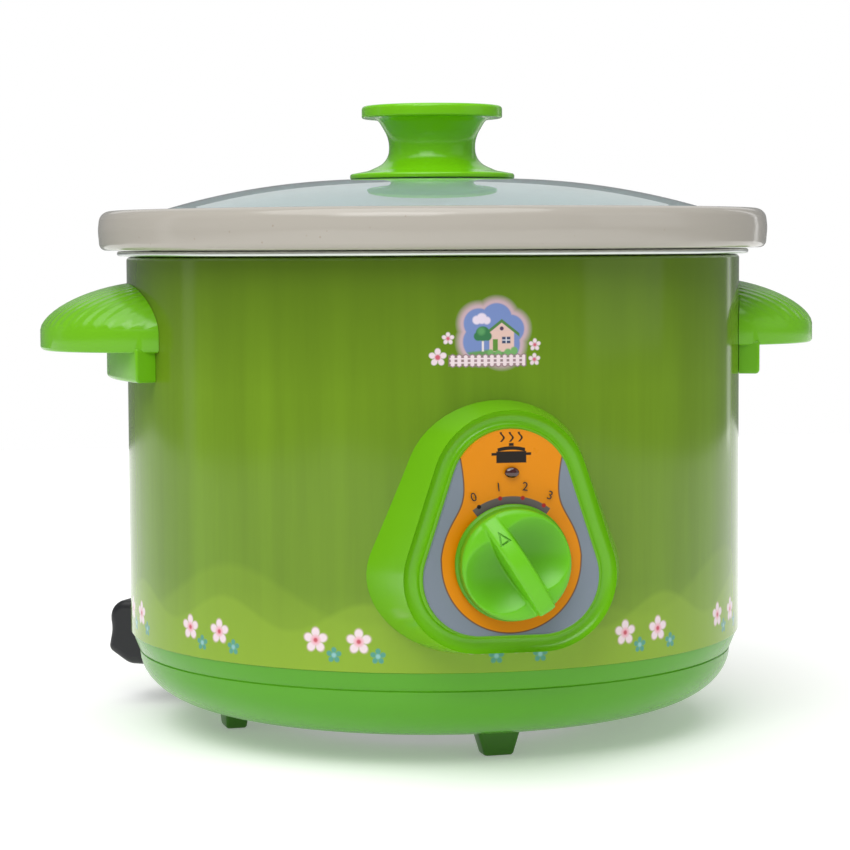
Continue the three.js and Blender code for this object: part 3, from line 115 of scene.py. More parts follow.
class CookerColours(bpy.types.PropertyGroup):
    """Colours of the cooker's finishes."""

    drum: colour("Drum", "Green of the painted drum", 110, 145, 30)
    meadow: colour("Meadow", "Paler green low on the drum", 142, 176, 44)
    plastic: colour("Plastic", "Green of the housing and handles", 108, 180, 20)
    base: colour("Base", "Green of the moulded base", 86, 160, 28)
    dial: colour("Dial", "Green of the dial", 102, 188, 20)
    lid_knob: colour("Lid knob", "Green of the lid's knob", 118, 200, 16)
    glaze: colour("Glaze", "Off-white of the crock", 176, 170, 160)
    panel: colour("Panel", "Grey of the control panel", 122, 131, 143)
    orange: colour("Orange", "Orange printing on the panel", 220, 134, 0)
    petals: colour("Petals", "Pink of the printed flowers", 232, 212, 220)
    petals_small: colour("Small petals", "Blue of the small printed flowers", 82, 150, 132)


# ---- Modelling helpers: sizes here are in millimetres ----


def millimetres(value):
    return value / MM


def at(x, y, z):
    """A place given in millimetres from the foot of the cooker's axis."""
    return AXIS + Vector((x, y, z)) * MM


def half_width(node):
    """Half of a frame node's width from side to side."""
    low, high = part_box(node)
    return millimetres((high.x - low.x) / 2)


def levels(node):
    """The heights of a frame node's underside and top."""
    low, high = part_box(node)
    return millimetres(low.z), millimetres(high.z)


def deselect():
    if bpy.context.object and bpy.context.object.mode != "OBJECT":
        bpy.ops.object.mode_set(mode="OBJECT")
    bpy.ops.object.select_all(action="DESELECT")


def activate(piece):
    deselect()
    piece.select_set(True)
    bpy.context.view_layer.objects.active = piece


def start_at(name, place):
    """A new object of one vertex, left in edit mode."""
    deselect()
    bpy.ops.mesh.primitive_plane_add(size=MM, location=(0, 0, 0))
    piece = bpy.context.object
    piece.name = name
    bpy.ops.object.mode_set(mode="EDIT")
    bpy.ops.mesh.merge(type="CENTER")
    bpy.ops.transform.translate(value=place)
    return piece


def extrude(vector):
    bpy.ops.mesh.extrude_region_move(TRANSFORM_OT_translate={"value": vector})


def resize(factors, centre):
    """Scales what is selected about a place."""
    bpy.ops.transform.resize(value=factors, center_override=tuple(centre))


def draw(name, places):
    """A new object that is a chain of edges through these places, left in edit mode."""
    piece = start_at(name, places[0])
    for before, after in zip(places, places[1:]):
        extrude(after - before)
    bpy.ops.mesh.select_all(action="SELECT")
    return piece


def close_up(smooth=35):
    """Merges doubles, turns the faces out and leaves edit mode with smooth shading."""
    bpy.ops.mesh.select_all(action="SELECT")
    bpy.ops.mesh.remove_doubles(threshold=0.002 * MM)
    bpy.ops.mesh.dissolve_degenerate(threshold=0.001 * MM)
    bpy.ops.mesh.normals_make_consistent(inside=False)
    bpy.ops.object.mode_set(mode="OBJECT")
    shade(smooth)


def shade(degrees=35):
    """Smooth shading on the active object, with edges sharper than this left crisp."""
    bpy.ops.object.shade_smooth_by_angle(angle=math.radians(degrees))


def rounded(corners, closed=True, steps=5):
    """Points of an outline whose corners are (x, y) or (x, y, radius of its round)."""
    points = []
    count = len(corners)
    for index, corner in enumerate(corners):
        here = Vector(corner[:2])
        radius = corner[2] if len(corner) > 2 else 0
        inside = closed or 0 < index < count - 1
        if not radius or not inside:
            points.append(tuple(here))
            continue
        to_last = (Vector(corners[index - 1][:2]) - here).normalized()
        to_next = (Vector(corners[(index + 1) % count][:2]) - here).normalized()
        half = to_last.angle(to_next) / 2
        centre = here + (to_last + to_next).normalized() * radius / math.sin(half)
        start = here + to_last * radius / math.tan(half) - centre
        end = here + to_next * radius / math.tan(half) - centre
        sweep = math.atan2(start.x * end.y - start.y * end.x, start.dot(end))
        for step in range(steps + 1):
            turn = sweep * step / steps
            points.append(
                (
                    centre.x + start.x * math.cos(turn) - start.y * math.sin(turn),
                    centre.y + start.x * math.sin(turn) + start.y * math.cos(turn),
                )
            )
    return points


def lathe(name, outline, centre=AXIS, along=UP, steps=ROUND_STEPS):
    """Turns (radius, distance along the axis) pairs about an axis. The outline is closed first."""
    outline = list(outline)
    if outline[0][0] > 1e-6 or outline[-1][0] > 1e-6:
        outline.append(outline[0])
    places = [centre + Vector((1, 0, 0)) * r * MM + along * h * MM for r, h in outline]
    piece = draw(name, places)
    bpy.ops.mesh.spin(steps=steps, angle=math.tau, center=centre, axis=along)
    close_up()
    return piece


def plate(name, places, depth):
    """A flat outline given a depth along a vector, left in edit mode with its end face."""
    piece = draw(name, places)
    bpy.ops.mesh.edge_face_add()
    extrude(depth)
    return piece


def modify(piece, kind, **settings):
    """Adds a modifier, sets it and applies it."""
    activate(piece)
    modifier = piece.modifiers.new(kind.title(), kind)
    for key, value in settings.items():
        setattr(modifier, key, value)
    bpy.ops.object.modifier_apply(modifier=modifier.name)


def carve(piece, cutter, operation="DIFFERENCE"):
    """Cuts one object with another, joins them or keeps what they share. The second one goes."""
    modify(piece, "BOOLEAN", operation=operation, object=cutter, solver="EXACT")
    bpy.data.objects.remove(cutter)
    return piece


def drum_cutter():
    """The drum's full round, a hair larger, to cut what stands against it."""
    radius = millimetres(sizes().drum_radius) + 0.15
    return round_cutter(radius)


def round_cutter(radius):
    return lathe("cutter", [(0, 0), (radius, 0), (radius, 260), (0, 260)])


def box_cutter(size, centre):
    """A plain box, used only to cut with."""
    deselect()
    bpy.ops.mesh.primitive_cube_add(size=1, location=centre)
    cutter = bpy.context.object
    bpy.ops.transform.resize(value=Vector(size) * MM)
    bpy.ops.object.transform_apply()
    return cutter


def soften(piece, width, segments=3, angle=35):
    modify(
        piece,
        "BEVEL",
        width=width * MM,
        segments=segments,
        limit_method="ANGLE",
        angle_limit=math.radians(angle),
    )
    shade()


def turn_copy(piece, name, degrees):
    """A copy with its own mesh, turned round the cooker's axis."""
    activate(piece)
    bpy.ops.object.duplicate(linked=False)
    copy = bpy.context.object
    copy.name = name
    turn_piece(copy, degrees)
    return copy


def turn_piece(piece, degrees):
    activate(piece)
    bpy.ops.object.mode_set(mode="EDIT")
    bpy.ops.mesh.select_all(action="SELECT")
    turn_about_axis(degrees)
    bpy.ops.object.mode_set(mode="OBJECT")


def turn_about_axis(degrees):
    """Turns what is selected in edit mode round the cooker's axis, to the right seen from the front."""
    bpy.ops.transform.rotate(
        value=-math.radians(degrees), orient_axis="Z", center_override=tuple(AXIS)
    )


def hand_over(piece, body, slot, material, *nodes):
    """Gives a finished piece its material and its body, and hides the CAD nodes that it stands for."""
    deselect()
    piece.data.materials.clear()
    piece.data.materials.append(material)
    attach(piece, body)
    if nodes:
        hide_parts(*nodes)
    return piece


def sizes():
    return bpy.context.scene.cooker_sizes


def colours():
    return bpy.context.scene.cooker_colours


# ---- Shader sums ----


class Field:
    """A socket of a material. Sums on it add Math nodes."""

    def __init__(self, finish, socket):
        self.finish = finish
        self.socket = socket

    def sum(self, operation, *others, clamp=False):
        settings = {"operation": operation, "use_clamp": clamp}
        return self.finish.node("ShaderNodeMath", settings, self, *others)

    def __add__(self, other):
        return self.sum("ADD", other)

    def __mul__(self, other):
        return self.sum("MULTIPLY", other)

    def __sub__(self, other):
        return self.sum("SUBTRACT", other)

    def __truediv__(self, other):
        return self.sum("DIVIDE", other)

    def __rsub__(self, other):
        return self.finish.node("ShaderNodeMath", {"operation": "SUBTRACT"}, other, self)

    def __neg__(self):
        return self * -1

    __radd__ = __add__
    __rmul__ = __mul__

    def abs(self):
        return self.sum("ABSOLUTE")

    def limited(self):
        """Kept between 0 and 1."""
        return self.sum("ADD", 0, clamp=True)

    def either(self, other):
        """The larger of two, which joins two shapes."""
        return self.sum("MAXIMUM", other)

    def both(self, other):
        """The smaller of two, which keeps what two shapes share."""
        return self.sum("MINIMUM", other)

    def inked(self, soft=0.25):
        """1 inside a shape and 0 outside it, over an edge this many millimetres wide."""
        return self.sum("MULTIPLY_ADD", 1 / soft, 0.5, clamp=True)


class Finish:
    """One material and the nodes in it."""

    def __init__(self, name, base=(0.8, 0.8, 0.8), roughness=0.5, **sockets):
        self.material = bpy.data.materials.new(name)
        self.material.use_nodes = True
        self.tree = self.material.node_tree
        self.shader = self.tree.nodes["Principled BSDF"]
        self.set("Base Color", (*base, 1))
        self.set("Roughness", roughness)
        for key, value in sockets.items():
            self.set(key.replace("_", " ").title().replace("Ior", "IOR"), value)

    def set(self, socket, value):
        target = self.shader.inputs[socket]
        if isinstance(value, Field):
            self.tree.links.new(value.socket, target)
        else:
            target.default_value = value

    def node(self, kind, settings, *values, output=0, inputs=None, **named):
        """Adds a node: its settings first, then its inputs by place or by name."""
        made = self.tree.nodes.new(kind)
        for key, value in settings.items():
            setattr(made, key, value)
        for key, value in [*enumerate(values), *(inputs or {}).items(), *named.items()]:
            target = made.inputs[key]
            if isinstance(value, Field):
                self.tree.links.new(value.socket, target)
            else:
                target.default_value = value
        return Field(self, made.outputs[output])

    def place(self):
        """Object coordinates in millimetres from the cooker's axis."""
        position = self.node("ShaderNodeTexCoord", {}, output="Object")
        return self.node(
            "ShaderNodeMapping",
            {"vector_type": "TEXTURE"},
            position,
            Location=tuple(AXIS),
            Scale=(MM, MM, MM),
        )

    def split(self, vector):
        return [self.node("ShaderNodeSeparateXYZ", {}, vector, output=k) for k in ("X", "Y", "Z")]

    def noise(self, vector, scale, detail=2.0, roughness=0.5):
        return self.node(
            "ShaderNodeTexNoise", {}, Vector=vector, Scale=scale, Detail=detail, Roughness=roughness
        )

    def mix(self, factor, first, second):
        """Lays the second colour over the first one."""
        colours_in = {
            key: value if isinstance(value, Field) else (*value[:3], 1)
            for key, value in ((6, first), (7, second))
        }
        return self.node("ShaderNodeMix", {"data_type": "RGBA"}, factor, output=2, inputs=colours_in)

    def tint(self, vector, base, scale=0.02, amount=0.06):
        """The base colour with a slow, slight change of tone."""
        tone = self.noise(vector, scale, 3.0)
        darker = tuple(c * (1 - amount) for c in base[:3])
        lighter = tuple(min(1, c * (1 + amount)) for c in base[:3])
        return self.mix(tone, darker, lighter)

    def bump(self, height, distance, strength=1.0):
        """Relief whose height is given in millimetres."""
        self.set(
            "Normal",
            self.node(
                "ShaderNodeBump", {}, Strength=strength, Distance=distance * MM, Height=height
            ),
        )

    def uneven(self, vector, smooth, rough, scale=0.05):
        """Roughness that drifts between two values, as handling leaves it."""
        self.set("Roughness", self.noise(vector, scale, 4.0) * (rough - smooth) + smooth)


def disc(u, v, centre, radius):
    """A round spot: positive inside it, in millimetres from its edge."""
    du, dv = u - centre[0], v - centre[1]
    away = (du * du + dv * dv).sum("SQRT")
    return radius - away


def oblong(u, v, centre, half):
    """An upright rectangle."""
    return (half[0] - (u - centre[0]).abs()).both(half[1] - (v - centre[1]).abs())


def blossom(u, v, centre, radius):
    """A flower with five round petals."""
    du, dv = u - centre[0], v - centre[1]
    away = (du * du + dv * dv).sum("SQRT")
    angle = du.sum("ARCTAN2", dv)
    folded = angle.sum("WRAP", math.pi / 5, -math.pi / 5)
    along = away * folded.sum("COSINE")
    across = away * folded.sum("SINE")
    petal = disc(along, across * 1.12, (0.63 * radius, 0), 0.37 * radius)
    return petal.either(0.42 * radius - away)


def plastic(name, base, smooth=0.16, rough=0.28):
    """Glossy moulded plastic with slight flow marks and fine handling wear."""
    finish = Finish(name, base, smooth, specular_ior_level=0.38)
    place = finish.place()
    finish.set("Base Color", finish.tint(place, base, 0.03, 0.05))
    finish.uneven(place, smooth, rough, 0.12)
    finish.bump(finish.noise(place, 0.35, 2.0), 0.04, 0.35)
    return finish.material


def metal(name, base, smooth=0.22, rough=0.4):
    """Plated or bright metal with fine scratches."""
    finish = Finish(name, base, smooth, metallic=1.0)
    place = finish.place()
    finish.set("Base Color", finish.tint(place, base, 0.08, 0.1))
    finish.uneven(place, smooth, rough, 0.4)
    finish.bump(finish.noise(place, 1.5, 3.0), 0.02, 0.4)
    return finish.material


def rough_stuff(name, base, roughness=0.7, grain=0.8, depth=0.05):
    """Mica, ceramic, silicone and other dull, grainy stuff."""
    finish = Finish(name, base, roughness)
    place = finish.place()
    finish.set("Base Color", finish.tint(place, base, grain, 0.16))
    finish.uneven(place, roughness - 0.1, min(1, roughness + 0.1), grain)
    finish.bump(finish.noise(place, grain, 4.0), depth)
    return finish.material


def drum_paint():
    """Glossy green enamel, with hills and flowers along its foot, a cottage on its front, painted
    reflection streaks and a painted shadow under the rim.
    """
    c = colours()
    finish = Finish("drum_enamel", c.drum, 0.12, specular_ior_level=0.3)
    place = finish.place()
    x, y, z = finish.split(place)
    radius = millimetres(sizes().drum_radius)
    angle = x.sum("ARCTAN2", -y)
    u = angle * radius

    # Painted reflection: soft upright streaks that lighten and darken the green, where the lamps would
    # mirror in the glossy enamel.
    rolled = finish.node("ShaderNodeCombineXYZ", {}, x * 0.09, y * 0.09, z * 0.005)
    reflection_streaks = finish.noise(rolled, 1.0, 5.0, 0.62)
    reflection_streaks = (reflection_streaks - 0.3).sum("MULTIPLY", 2.5, clamp=True)
    skin = finish.mix(reflection_streaks, tuple(v * 0.84 for v in c.drum), tuple(v * 1.04 for v in c.drum))
    top = millimetres(sizes().drum_top)
    # Painted shadow: the green darkens over the 46 mm below the drum's top, where the crock's rim
    # shades it.
    rim_shadow = ((z - (top - 46)) / 46).limited()
    skin = finish.mix(rim_shadow * 0.8, skin, tuple(v * 0.55 for v in c.drum))
    hills = (angle * 7 + 1.2).sum("SINE") * 9 + 60
    knolls = (angle * 13 + 0.4).sum("SINE") * 5 + 53
    colour_now = finish.mix((hills - z).inked(3) * 0.22, skin, c.meadow)
    colour_now = finish.mix((knolls - z).inked(2) * 0.38, colour_now, c.meadow)
    colour_now = finish.mix(((62 - z) / 27).limited() * 0.5, colour_now, c.meadow)

    colour_now = flower_border(finish, colour_now, u, z, radius)
    colour_now = cottage(finish, colour_now, (u + 2.3) * 1.19, (z - 149) * 1.19)
    finish.set("Base Color", colour_now)
    finish.uneven(place, 0.08, 0.16, 0.03)
    finish.bump(finish.noise(place, 0.08, 2.0), 0.05, 0.35)
    return finish.material


def flower_border(finish, under, u, z, radius):
    """Thirteen pairs of five-petalled flowers, each flower with a small one at its right."""
    c = colours()
    small_at, large_at = (0, 40.6), (0, 45.4)
    period = radius * math.tau / 13
    apart = radius * math.radians(7.7)
    beside = radius * math.radians(3.3)

    def from_pair(shift):
        """Distance along the border from the nearest flower's middle."""
        folded = (u - shift).sum("WRAP", period / 2, -period / 2)
        side = folded.sum("SIGN")
        return folded - side * (apart / 2)

    across = from_pair(0)
    small = from_pair(beside)
    now = finish.mix(blossom(small, z, small_at, 2.7).inked(0.5), under, c.petals_small)
    now = finish.mix(disc(small, z, small_at, 0.8).inked(0.6), now, linear(138, 186, 186))
    now = finish.mix(blossom(across, z, large_at, 4.5).inked(0.9), now, linear(200, 178, 160))
    now = finish.mix(blossom(across, z, large_at, 4.2).inked(0.6), now, c.petals)
    now = finish.mix(disc(across, z, large_at, 1.5).inked(1.4), now, linear(228, 158, 172))
    return finish.mix(disc(across, z, large_at, 0.7).inked(0.5), now, linear(192, 82, 96))


def cottage(finish, under, u, v):
    """A small picture: a house with a tree in a cloud-shaped frame, over a fence with flowers."""

    def cloud(spots, grown):
        shape = disc(u, v, spots[0][:2], spots[0][2] + grown)
        for spot in spots[1:]:
            shape = shape.either(disc(u, v, spot[:2], spot[2] + grown))
        return shape

    def lay(now, shape, red, green, blue, soft=0.35):
        return finish.mix(shape.inked(soft), now, linear(red, green, blue))

    frame_spots = [
        (-5.2, 3.2, 6.0), (2.0, 5.0, 6.2), (7.6, 1.0, 5.6), (4.0, -5.0, 7.4), (-4.5, -4.0, 7.0),
    ]
    now = lay(under, cloud(frame_spots, 2.2), 196, 168, 176, 2.6)
    now = lay(now, cloud(frame_spots, 0), 118, 138, 190, 0.6)
    puffs = cloud([(-6.0, 4.6, 1.7), (-4.0, 5.2, 2.1), (-2.0, 4.4, 1.5)], 0)
    now = lay(now, puffs, 226, 212, 228, 0.7)
    ground = cloud(frame_spots, -0.3).both(-7.2 - v - (u.abs() - 2) * 0.12)
    now = lay(now, ground, 104, 150, 92, 0.8)
    wall = oblong(u, v, (4.0, -3.8), (5.0, 4.2)).either(
        (3.6 - (u - 4.0).abs() * 0.78 - v).both(v - 0.2)
    )
    now = lay(now, wall, 222, 188, 178, 0.4)
    from_ridge = (u - 4.0).abs()
    roof = (4.9 - from_ridge * 0.78 - v).both(from_ridge * 0.78 + v - 3.5).both(7.2 - from_ridge)
    now = lay(now, roof, 84, 128, 70, 0.4)
    now = lay(now, disc(u, v, (4.0, 1.2), 0.8), 84, 62, 88)
    now = lay(now, oblong(u, v, (1.4, -5.4), (1.0, 2.4)), 96, 140, 62)
    pane = oblong(u, v, (5.8, -3.4), (1.7, 1.3))
    bars = (0.22 - (u - 5.8).abs()).either(0.22 - (v + 3.4).abs())
    now = lay(now, pane, 66, 76, 104)
    now = lay(now, bars.both(pane), 210, 206, 216, 0.2)
    now = lay(now, oblong(u, v, (-3.6, -5.0), (0.4, 2.8)), 232, 220, 220)
    crown = cloud([(-3.6, -0.8, 2.9), (-5.4, -1.8, 1.8), (-1.8, -1.8, 1.8)], 0)
    now = lay(now, crown, 62, 120, 78, 0.5)
    now = lay(now, disc(u, v, (-4.2, 0.2), 1.5), 92, 152, 96, 1.2)
    bushes = cloud([(6.5, -8.4, 1.6), (9.0, -7.6, 1.5), (2.6, -8.6, 1.3), (-0.5, -8.2, 1.2)], 0)
    now = lay(now, bushes, 118, 170, 104, 0.6)

    post = u.sum("PINGPONG", 1.3)
    inside = 15.2 - (u + 1.6).abs()
    pickets = (0.75 - post).both(1.9 - (v + 11.4).abs() - (0.75 - post) * -0.5)
    rails = (0.3 - (v + 10.6).abs()).either(0.3 - (v + 12.2).abs())
    fence = pickets.either(rails).both(inside)
    now = lay(now, fence.sum("ADD", 0.45), 150, 120, 128, 0.4)
    now = lay(now, fence, 236, 216, 222, 0.3)
    for x, y, size in ((-21.5, -10.0, 3.6), (-17.4, -2.6, 2.5), (17.6, -5.4, 2.5), (17.4, -11.2, 2.5)):
        centre = (x, y)
        now = finish.mix(blossom(u, v, centre, size).inked(0.5), now, colours().petals)
        now = lay(now, disc(u, v, centre, size * 0.3), 200, 96, 112, 0.7)
    return now


def panel_print():
    """Satin grey with an orange field, a dark scale round the dial and four marks."""
    c = colours()
    finish = Finish("panel_print", c.panel, 0.3, specular_ior_level=0.2)
    place = finish.place()
    u, _, z = finish.split(place)
    v = z - millimetres(sizes().dial_height)
    away = (u * u + v * v).sum("SQRT")
    angle = u.sum("ARCTAN2", v) * (180 / math.pi)
    rise = (v - 22) / 13
    neck = (15.5 + rise * rise * 1.4 - u.abs()).both(v - 6)
    field = (23.1 - away).sum("SMOOTH_MAX", neck, 8.0)

    now = finish.tint(place, c.panel, 0.06, 0.05)
    now = finish.mix((field + 0.42).inked(0.25), now, linear(104, 74, 52))
    now = finish.mix(field.inked(0.25), now, finish.tint(place, c.orange, 0.05, 0.04))
    arc = (21.6 - away).both(away - 17).both(angle + 37).both(37 - angle)
    now = finish.mix(arc.inked(0.3), now, linear(98, 92, 88))
    dark, red = (26, 18, 18), (170, 34, 30)
    for degrees, ink in zip(SCALE_MARKS, (dark, red, red, red)):
        turn = math.radians(degrees)
        spot = (21.3 * math.sin(turn), 21.3 * math.cos(turn))
        now = finish.mix(disc(u, v, spot, 0.7).inked(0.3), now, linear(*ink))
    now = pot_sign(finish, now, u, v - 36.6)
    finish.set("Base Color", now)
    finish.uneven(place, 0.24, 0.36, 0.2)
    finish.bump(finish.noise(place, 1.2, 2.0), 0.015, 0.5)
    return finish.material


def pot_sign(finish, under, u, v):
    """A plain sign of a lidded pot with steam, in dark ink."""
    body = oblong(u, v, (0, -2.2), (5.0, 1.9)).both(7.2 - (u.abs() - (v + 4.0) * 0.25))
    ears = oblong(u, v, (0, -1.2), (6.6, 0.45))
    lid = (4.6 - u.abs()).both(0.95 - (v - 0.75 + u * u * 0.03).abs() * 1.6)
    grip = oblong(u, v, (0, 1.9), (0.8, 0.5))
    wave = (v * 1.9).sum("SINE") * 0.5
    folded = (u - wave + 1.5).sum("PINGPONG", 3.0)
    steam = (0.35 - (folded - 1.5).abs()).both(1.6 - (v - 4.4).abs()).both(4.6 - u.abs())
    sign = body.either(ears).either(lid).either(grip).either(steam)
    return finish.mix(sign.inked(0.25), under, linear(30, 24, 18))


def glaze():
    """Off-white glaze: glossy, faintly speckled and slightly wavy."""
    white = colours().glaze
    finish = Finish("crock_glaze", white, 0.12)
    place = finish.place()
    base = finish.tint(place, white, 0.015, 0.05)
    specks = finish.node("ShaderNodeTexVoronoi", {}, Vector=place, Scale=0.22)
    near = finish.noise(place, 0.1, 2.0)
    fleck = (0.07 - specks).inked(0.06).both((near - 0.52).inked(0.08))
    finish.set("Base Color", finish.mix(fleck * 0.5, base, linear(150, 132, 112)))
    finish.uneven(place, 0.08, 0.18, 0.04)
    finish.bump(finish.noise(place, 0.045, 2.0), 0.5, 0.5)
    return finish.material


def glass():
    finish = Finish("lid_glass", linear(214, 234, 233), 0.02, transmission_weight=0.66, ior=1.5)
    place = finish.place()
    finish.uneven(place, 0.01, 0.05, 0.02)
    finish.bump(finish.noise(place, 0.03, 1.0), 0.05, 0.2)
    return finish.material


def spun_metal(name, base):
    """Rolled and spun sheet with faint rings round the axis."""
    finish = Finish(name, base, 0.25, metallic=1.0)
    place = finish.place()
    x, y, z = finish.split(place)
    away = (x * x + y * y).sum("SQRT")
    lines = finish.node("ShaderNodeCombineXYZ", {}, away, z, 0.0)
    rings = finish.noise(lines, 0.9, 5.0, 0.7)
    finish.set("Base Color", finish.mix(rings, tuple(0.86 * v for v in base), base))
    finish.set("Roughness", rings * 0.2 + 0.18)
    finish.bump(rings, 0.03, 0.5)
    return finish.material


# ---- The cooker's pieces ----


def build_camera():
    deselect()
    away, height = 0.95, 0.1783
    round_left, aim, tilt, roll = (math.radians(a) for a in (11.0, 0.17, 4.11, 0.3))
    stand = AXIS + Vector((-math.sin(round_left) * away, -math.cos(round_left) * away, height))
    bpy.ops.object.camera_add(location=stand)
    camera = bpy.context.object
    camera.name = "camera"
    camera.data.sensor_width = 36
    camera.data.lens = 107.153
    camera.data.clip_start = 0.05
    camera.rotation_euler = (math.radians(90) - tilt, roll, aim - round_left)
    bpy.context.scene.camera = camera


def add_light(name, place, size, power, tall=None):
    """A rectangular lamp that faces the cooker's middle."""
    bpy.ops.object.light_add(type="AREA", location=place)
    lamp = bpy.context.object
    lamp.name = name
    lamp.data.shape = "RECTANGLE"
    lamp.data.size = size
    lamp.data.size_y = tall or size
    lamp.data.energy = power
    face_middle(lamp, place)


def face_middle(lamp, place):
    lamp.rotation_euler = (MIDDLE - Vector(place)).to_track_quat("-Z", "Y").to_euler()


def build_stage():
    deselect()
    bpy.ops.mesh.primitive_plane_add(size=2.6, location=(0, 0, -0.0002))
    floor = bpy.context.object
    floor.name = "floor"
    bpy.ops.object.transform_apply()
    paper = Finish("floor_paper", (0.86, 0.86, 0.85), 0.7)
    paper.set("Emission Color", (1, 1, 1, 1))
    paper.set("Emission Strength", 0.26)
    paper.bump(paper.noise(paper.place(), 0.2, 2.0), 0.05, 0.2)
    floor.data.materials.append(paper.material)
    add_light("key", (-0.85, -1.7, 1.75), 1.4, 17)
    add_light("fill", (1.9, -1.0, 0.9), 1.5, 3.5)
    add_light("rear", (0.3, 1.6, 1.5), 2.0, 6)
    add_light("left_strip", (-1.25, 0.42, 0.35), 0.16, 0.25, tall=1.0)
    add_light("right_strip", (1.05, 0.85, 0.35), 0.12, 0.35, tall=1.0)
    bpy.ops.object.light_add(type="SUN", location=(-0.4, -0.6, 2.0))
    sky = bpy.context.object
    sky.name = "overhead"
    sky.data.energy = 2.3
    sky.data.angle = math.radians(70)
    face_middle(sky, sky.location)
    world = bpy.data.worlds.new("studio")
    world.use_nodes = True
    nodes, links = world.node_tree.nodes, world.node_tree.links
    seen = nodes.new("ShaderNodeBackground")
    seen.inputs["Color"].default_value = (1, 1, 1, 1)
    nodes["Background"].inputs["Color"].default_value = (0.95, 0.98, 1, 1)
    nodes["Background"].inputs["Strength"].default_value = 0.26
    choose = nodes.new("ShaderNodeMixShader")
    ray = nodes.new("ShaderNodeLightPath")
    links.new(ray.outputs["Is Camera Ray"], choose.inputs[0])
    links.new(nodes["Background"].outputs[0], choose.inputs[1])
    links.new(seen.outputs[0], choose.inputs[2])
    links.new(choose.outputs[0], nodes["World Output"].inputs["Surface"])
    bpy.context.scene.world = world
    bpy.context.scene.view_settings.view_transform = "Standard"


def build_drum():
    s = sizes()
    outer = millimetres(s.drum_radius)
    top = millimetres(s.drum_top)
    foot = millimetres(s.seam)
    outline = rounded(
        [
            (outer - 1, foot),
            (outer, foot, 0.35),
            (outer, top, 1.4),
            (outer - 4, top, 0.3),
            (outer - 4, top - 1, 0.3),
            (outer - 1, top - 1, 0.4),
        ]
    )
    drum = lathe("drum", outline)
    low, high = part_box("control_housing")
    behind_panel = (AXIS.x, DRUM_LOW.y, (low.z + high.z) / 2 - 6 * MM)
    window = box_cutter((32, 30, 56), behind_panel)
    carve(drum, window)
    shade()
    hand_over(drum, "base", "shell_paint", drum_paint(), "outer_shell")


def quarter_round(flat, bottom, reach, rise, steps):
    """The side of the base from its flat underside up to its groove, as points in steps."""
    turns = [math.pi / 2 * k / steps for k in range(steps + 1)]
    return [(flat + reach * math.sin(t), bottom + rise * (1 - math.cos(t))) for t in turns]


def build_base():
    s = sizes()
    seam = millimetres(s.seam)
    top = millimetres(s.drum_radius) - 0.4
    groove = millimetres(s.drum_radius) - 3.2
    bottom = seam - BASE_HEIGHT
    reach, rise, wall = groove - BASE_FLAT, 19, 2.6
    outside = quarter_round(BASE_FLAT, bottom, reach, rise, 18)
    inside = quarter_round(BASE_FLAT, bottom + wall, reach - wall, rise - wall, 12)
    cover = half_width("bottom_cover")
    lip = [(cover + 0.3, bottom + 1.9), (cover + 0.3, bottom, 0.5), (cover + 4, bottom)]
    band = [(groove + 0.4, bottom + rise + 1.1), (top, seam, 0.15), (top - 3, seam)]
    outline = [
        (cover - 8, bottom + 1.9),
        *rounded(lip, False),
        *outside,
        (groove - 0.3, bottom + rise + 0.3),
        (groove + 0.1, bottom + rise + 0.7),
        *rounded(band, False),
        (top - 0.6, seam),
        (top - 0.6, seam + 4),
        (top - 3.2, seam + 4),
        (top - 3.2, seam),
        *reversed(inside),
        (cover + 2.6, bottom + 2.6),
        (cover + 2.6, bottom + 4.5),
        (cover - 8, bottom + 4.5),
    ]
    bowl = lathe("base", outline)
    hand_over(bowl, "base", "base_plastic", plastic("base_plastic", colours().base), "base_bowl")
    build_cover(cover)


def build_cover(edge):
    """The pressed sheet under the base, with a shallow ring and eight vents."""
    under, over = levels("bottom_cover")
    pressed = rounded(
        [
            (0, over), (0, under), (14, under, 1), (17, under + 0.5, 1), (34, under + 0.5, 1),
            (37, under, 1), (edge, under, 0.4), (edge, over), (37, over, 1), (34, over + 0.4, 1),
            (17, over + 0.4, 1), (14, over, 1),
        ],
        steps=3,
    )
    sheet = lathe("bottom_cover", pressed[1:] + [(0, over)])
    vents = 8
    for number in range(vents):
        slot = box_cutter((3, 16, 20), at(0, -29, under))
        soften(slot, 1.4, 4)
        turn_piece(slot, (number + 0.5) * 360 / vents)
        carve(sheet, slot)
    shade()
    zinc = metal("cover_zinc", (0.55, 0.56, 0.57))
    hand_over(sheet, "base", "sheet_steel", zinc, "bottom_cover")


def build_feet():
    """One tapered foot at the front, copied to the right, the rear and the left."""
    # Painted shade: the feet take the base's green at half its brightness, as the base looks in shade
    # under the cooker.
    dull = plastic("foot_plastic", tuple(v * 0.5 for v in colours().base), 0.25, 0.4)
    corners = rounded([(-8, -4.5, 1.5), (8, -4.5, 1.5), (8, 4.5, 1.5), (-8, 4.5, 1.5)], steps=4)
    middle = at(0, -77.5, 0)
    places = [middle + Vector((x, y, 9.2)) * MM for x, y in corners]
    front = plate("foot_front", places, -UP * 7.6 * MM)
    resize((11.4 / 16, 7.9 / 9, 1), middle + UP * 1.6 * MM)
    for drop, narrow in ((1.0, 0.96), (0.6, 0.9)):
        extrude(-UP * drop * MM)
        resize((narrow, narrow, 1), middle)
    bpy.ops.mesh.select_all(action="SELECT")
    turn_about_axis(FOOT_TURN)
    close_up(50)
    hand_over(front, "base", "foot_plastic", dull, "foot_front")
    for number, name in enumerate(("right", "rear", "left"), 1):
        foot = turn_copy(front, f"foot_{name}", 90 * number)
        hand_over(foot, "base", "foot_plastic", dull, f"foot_{name}")


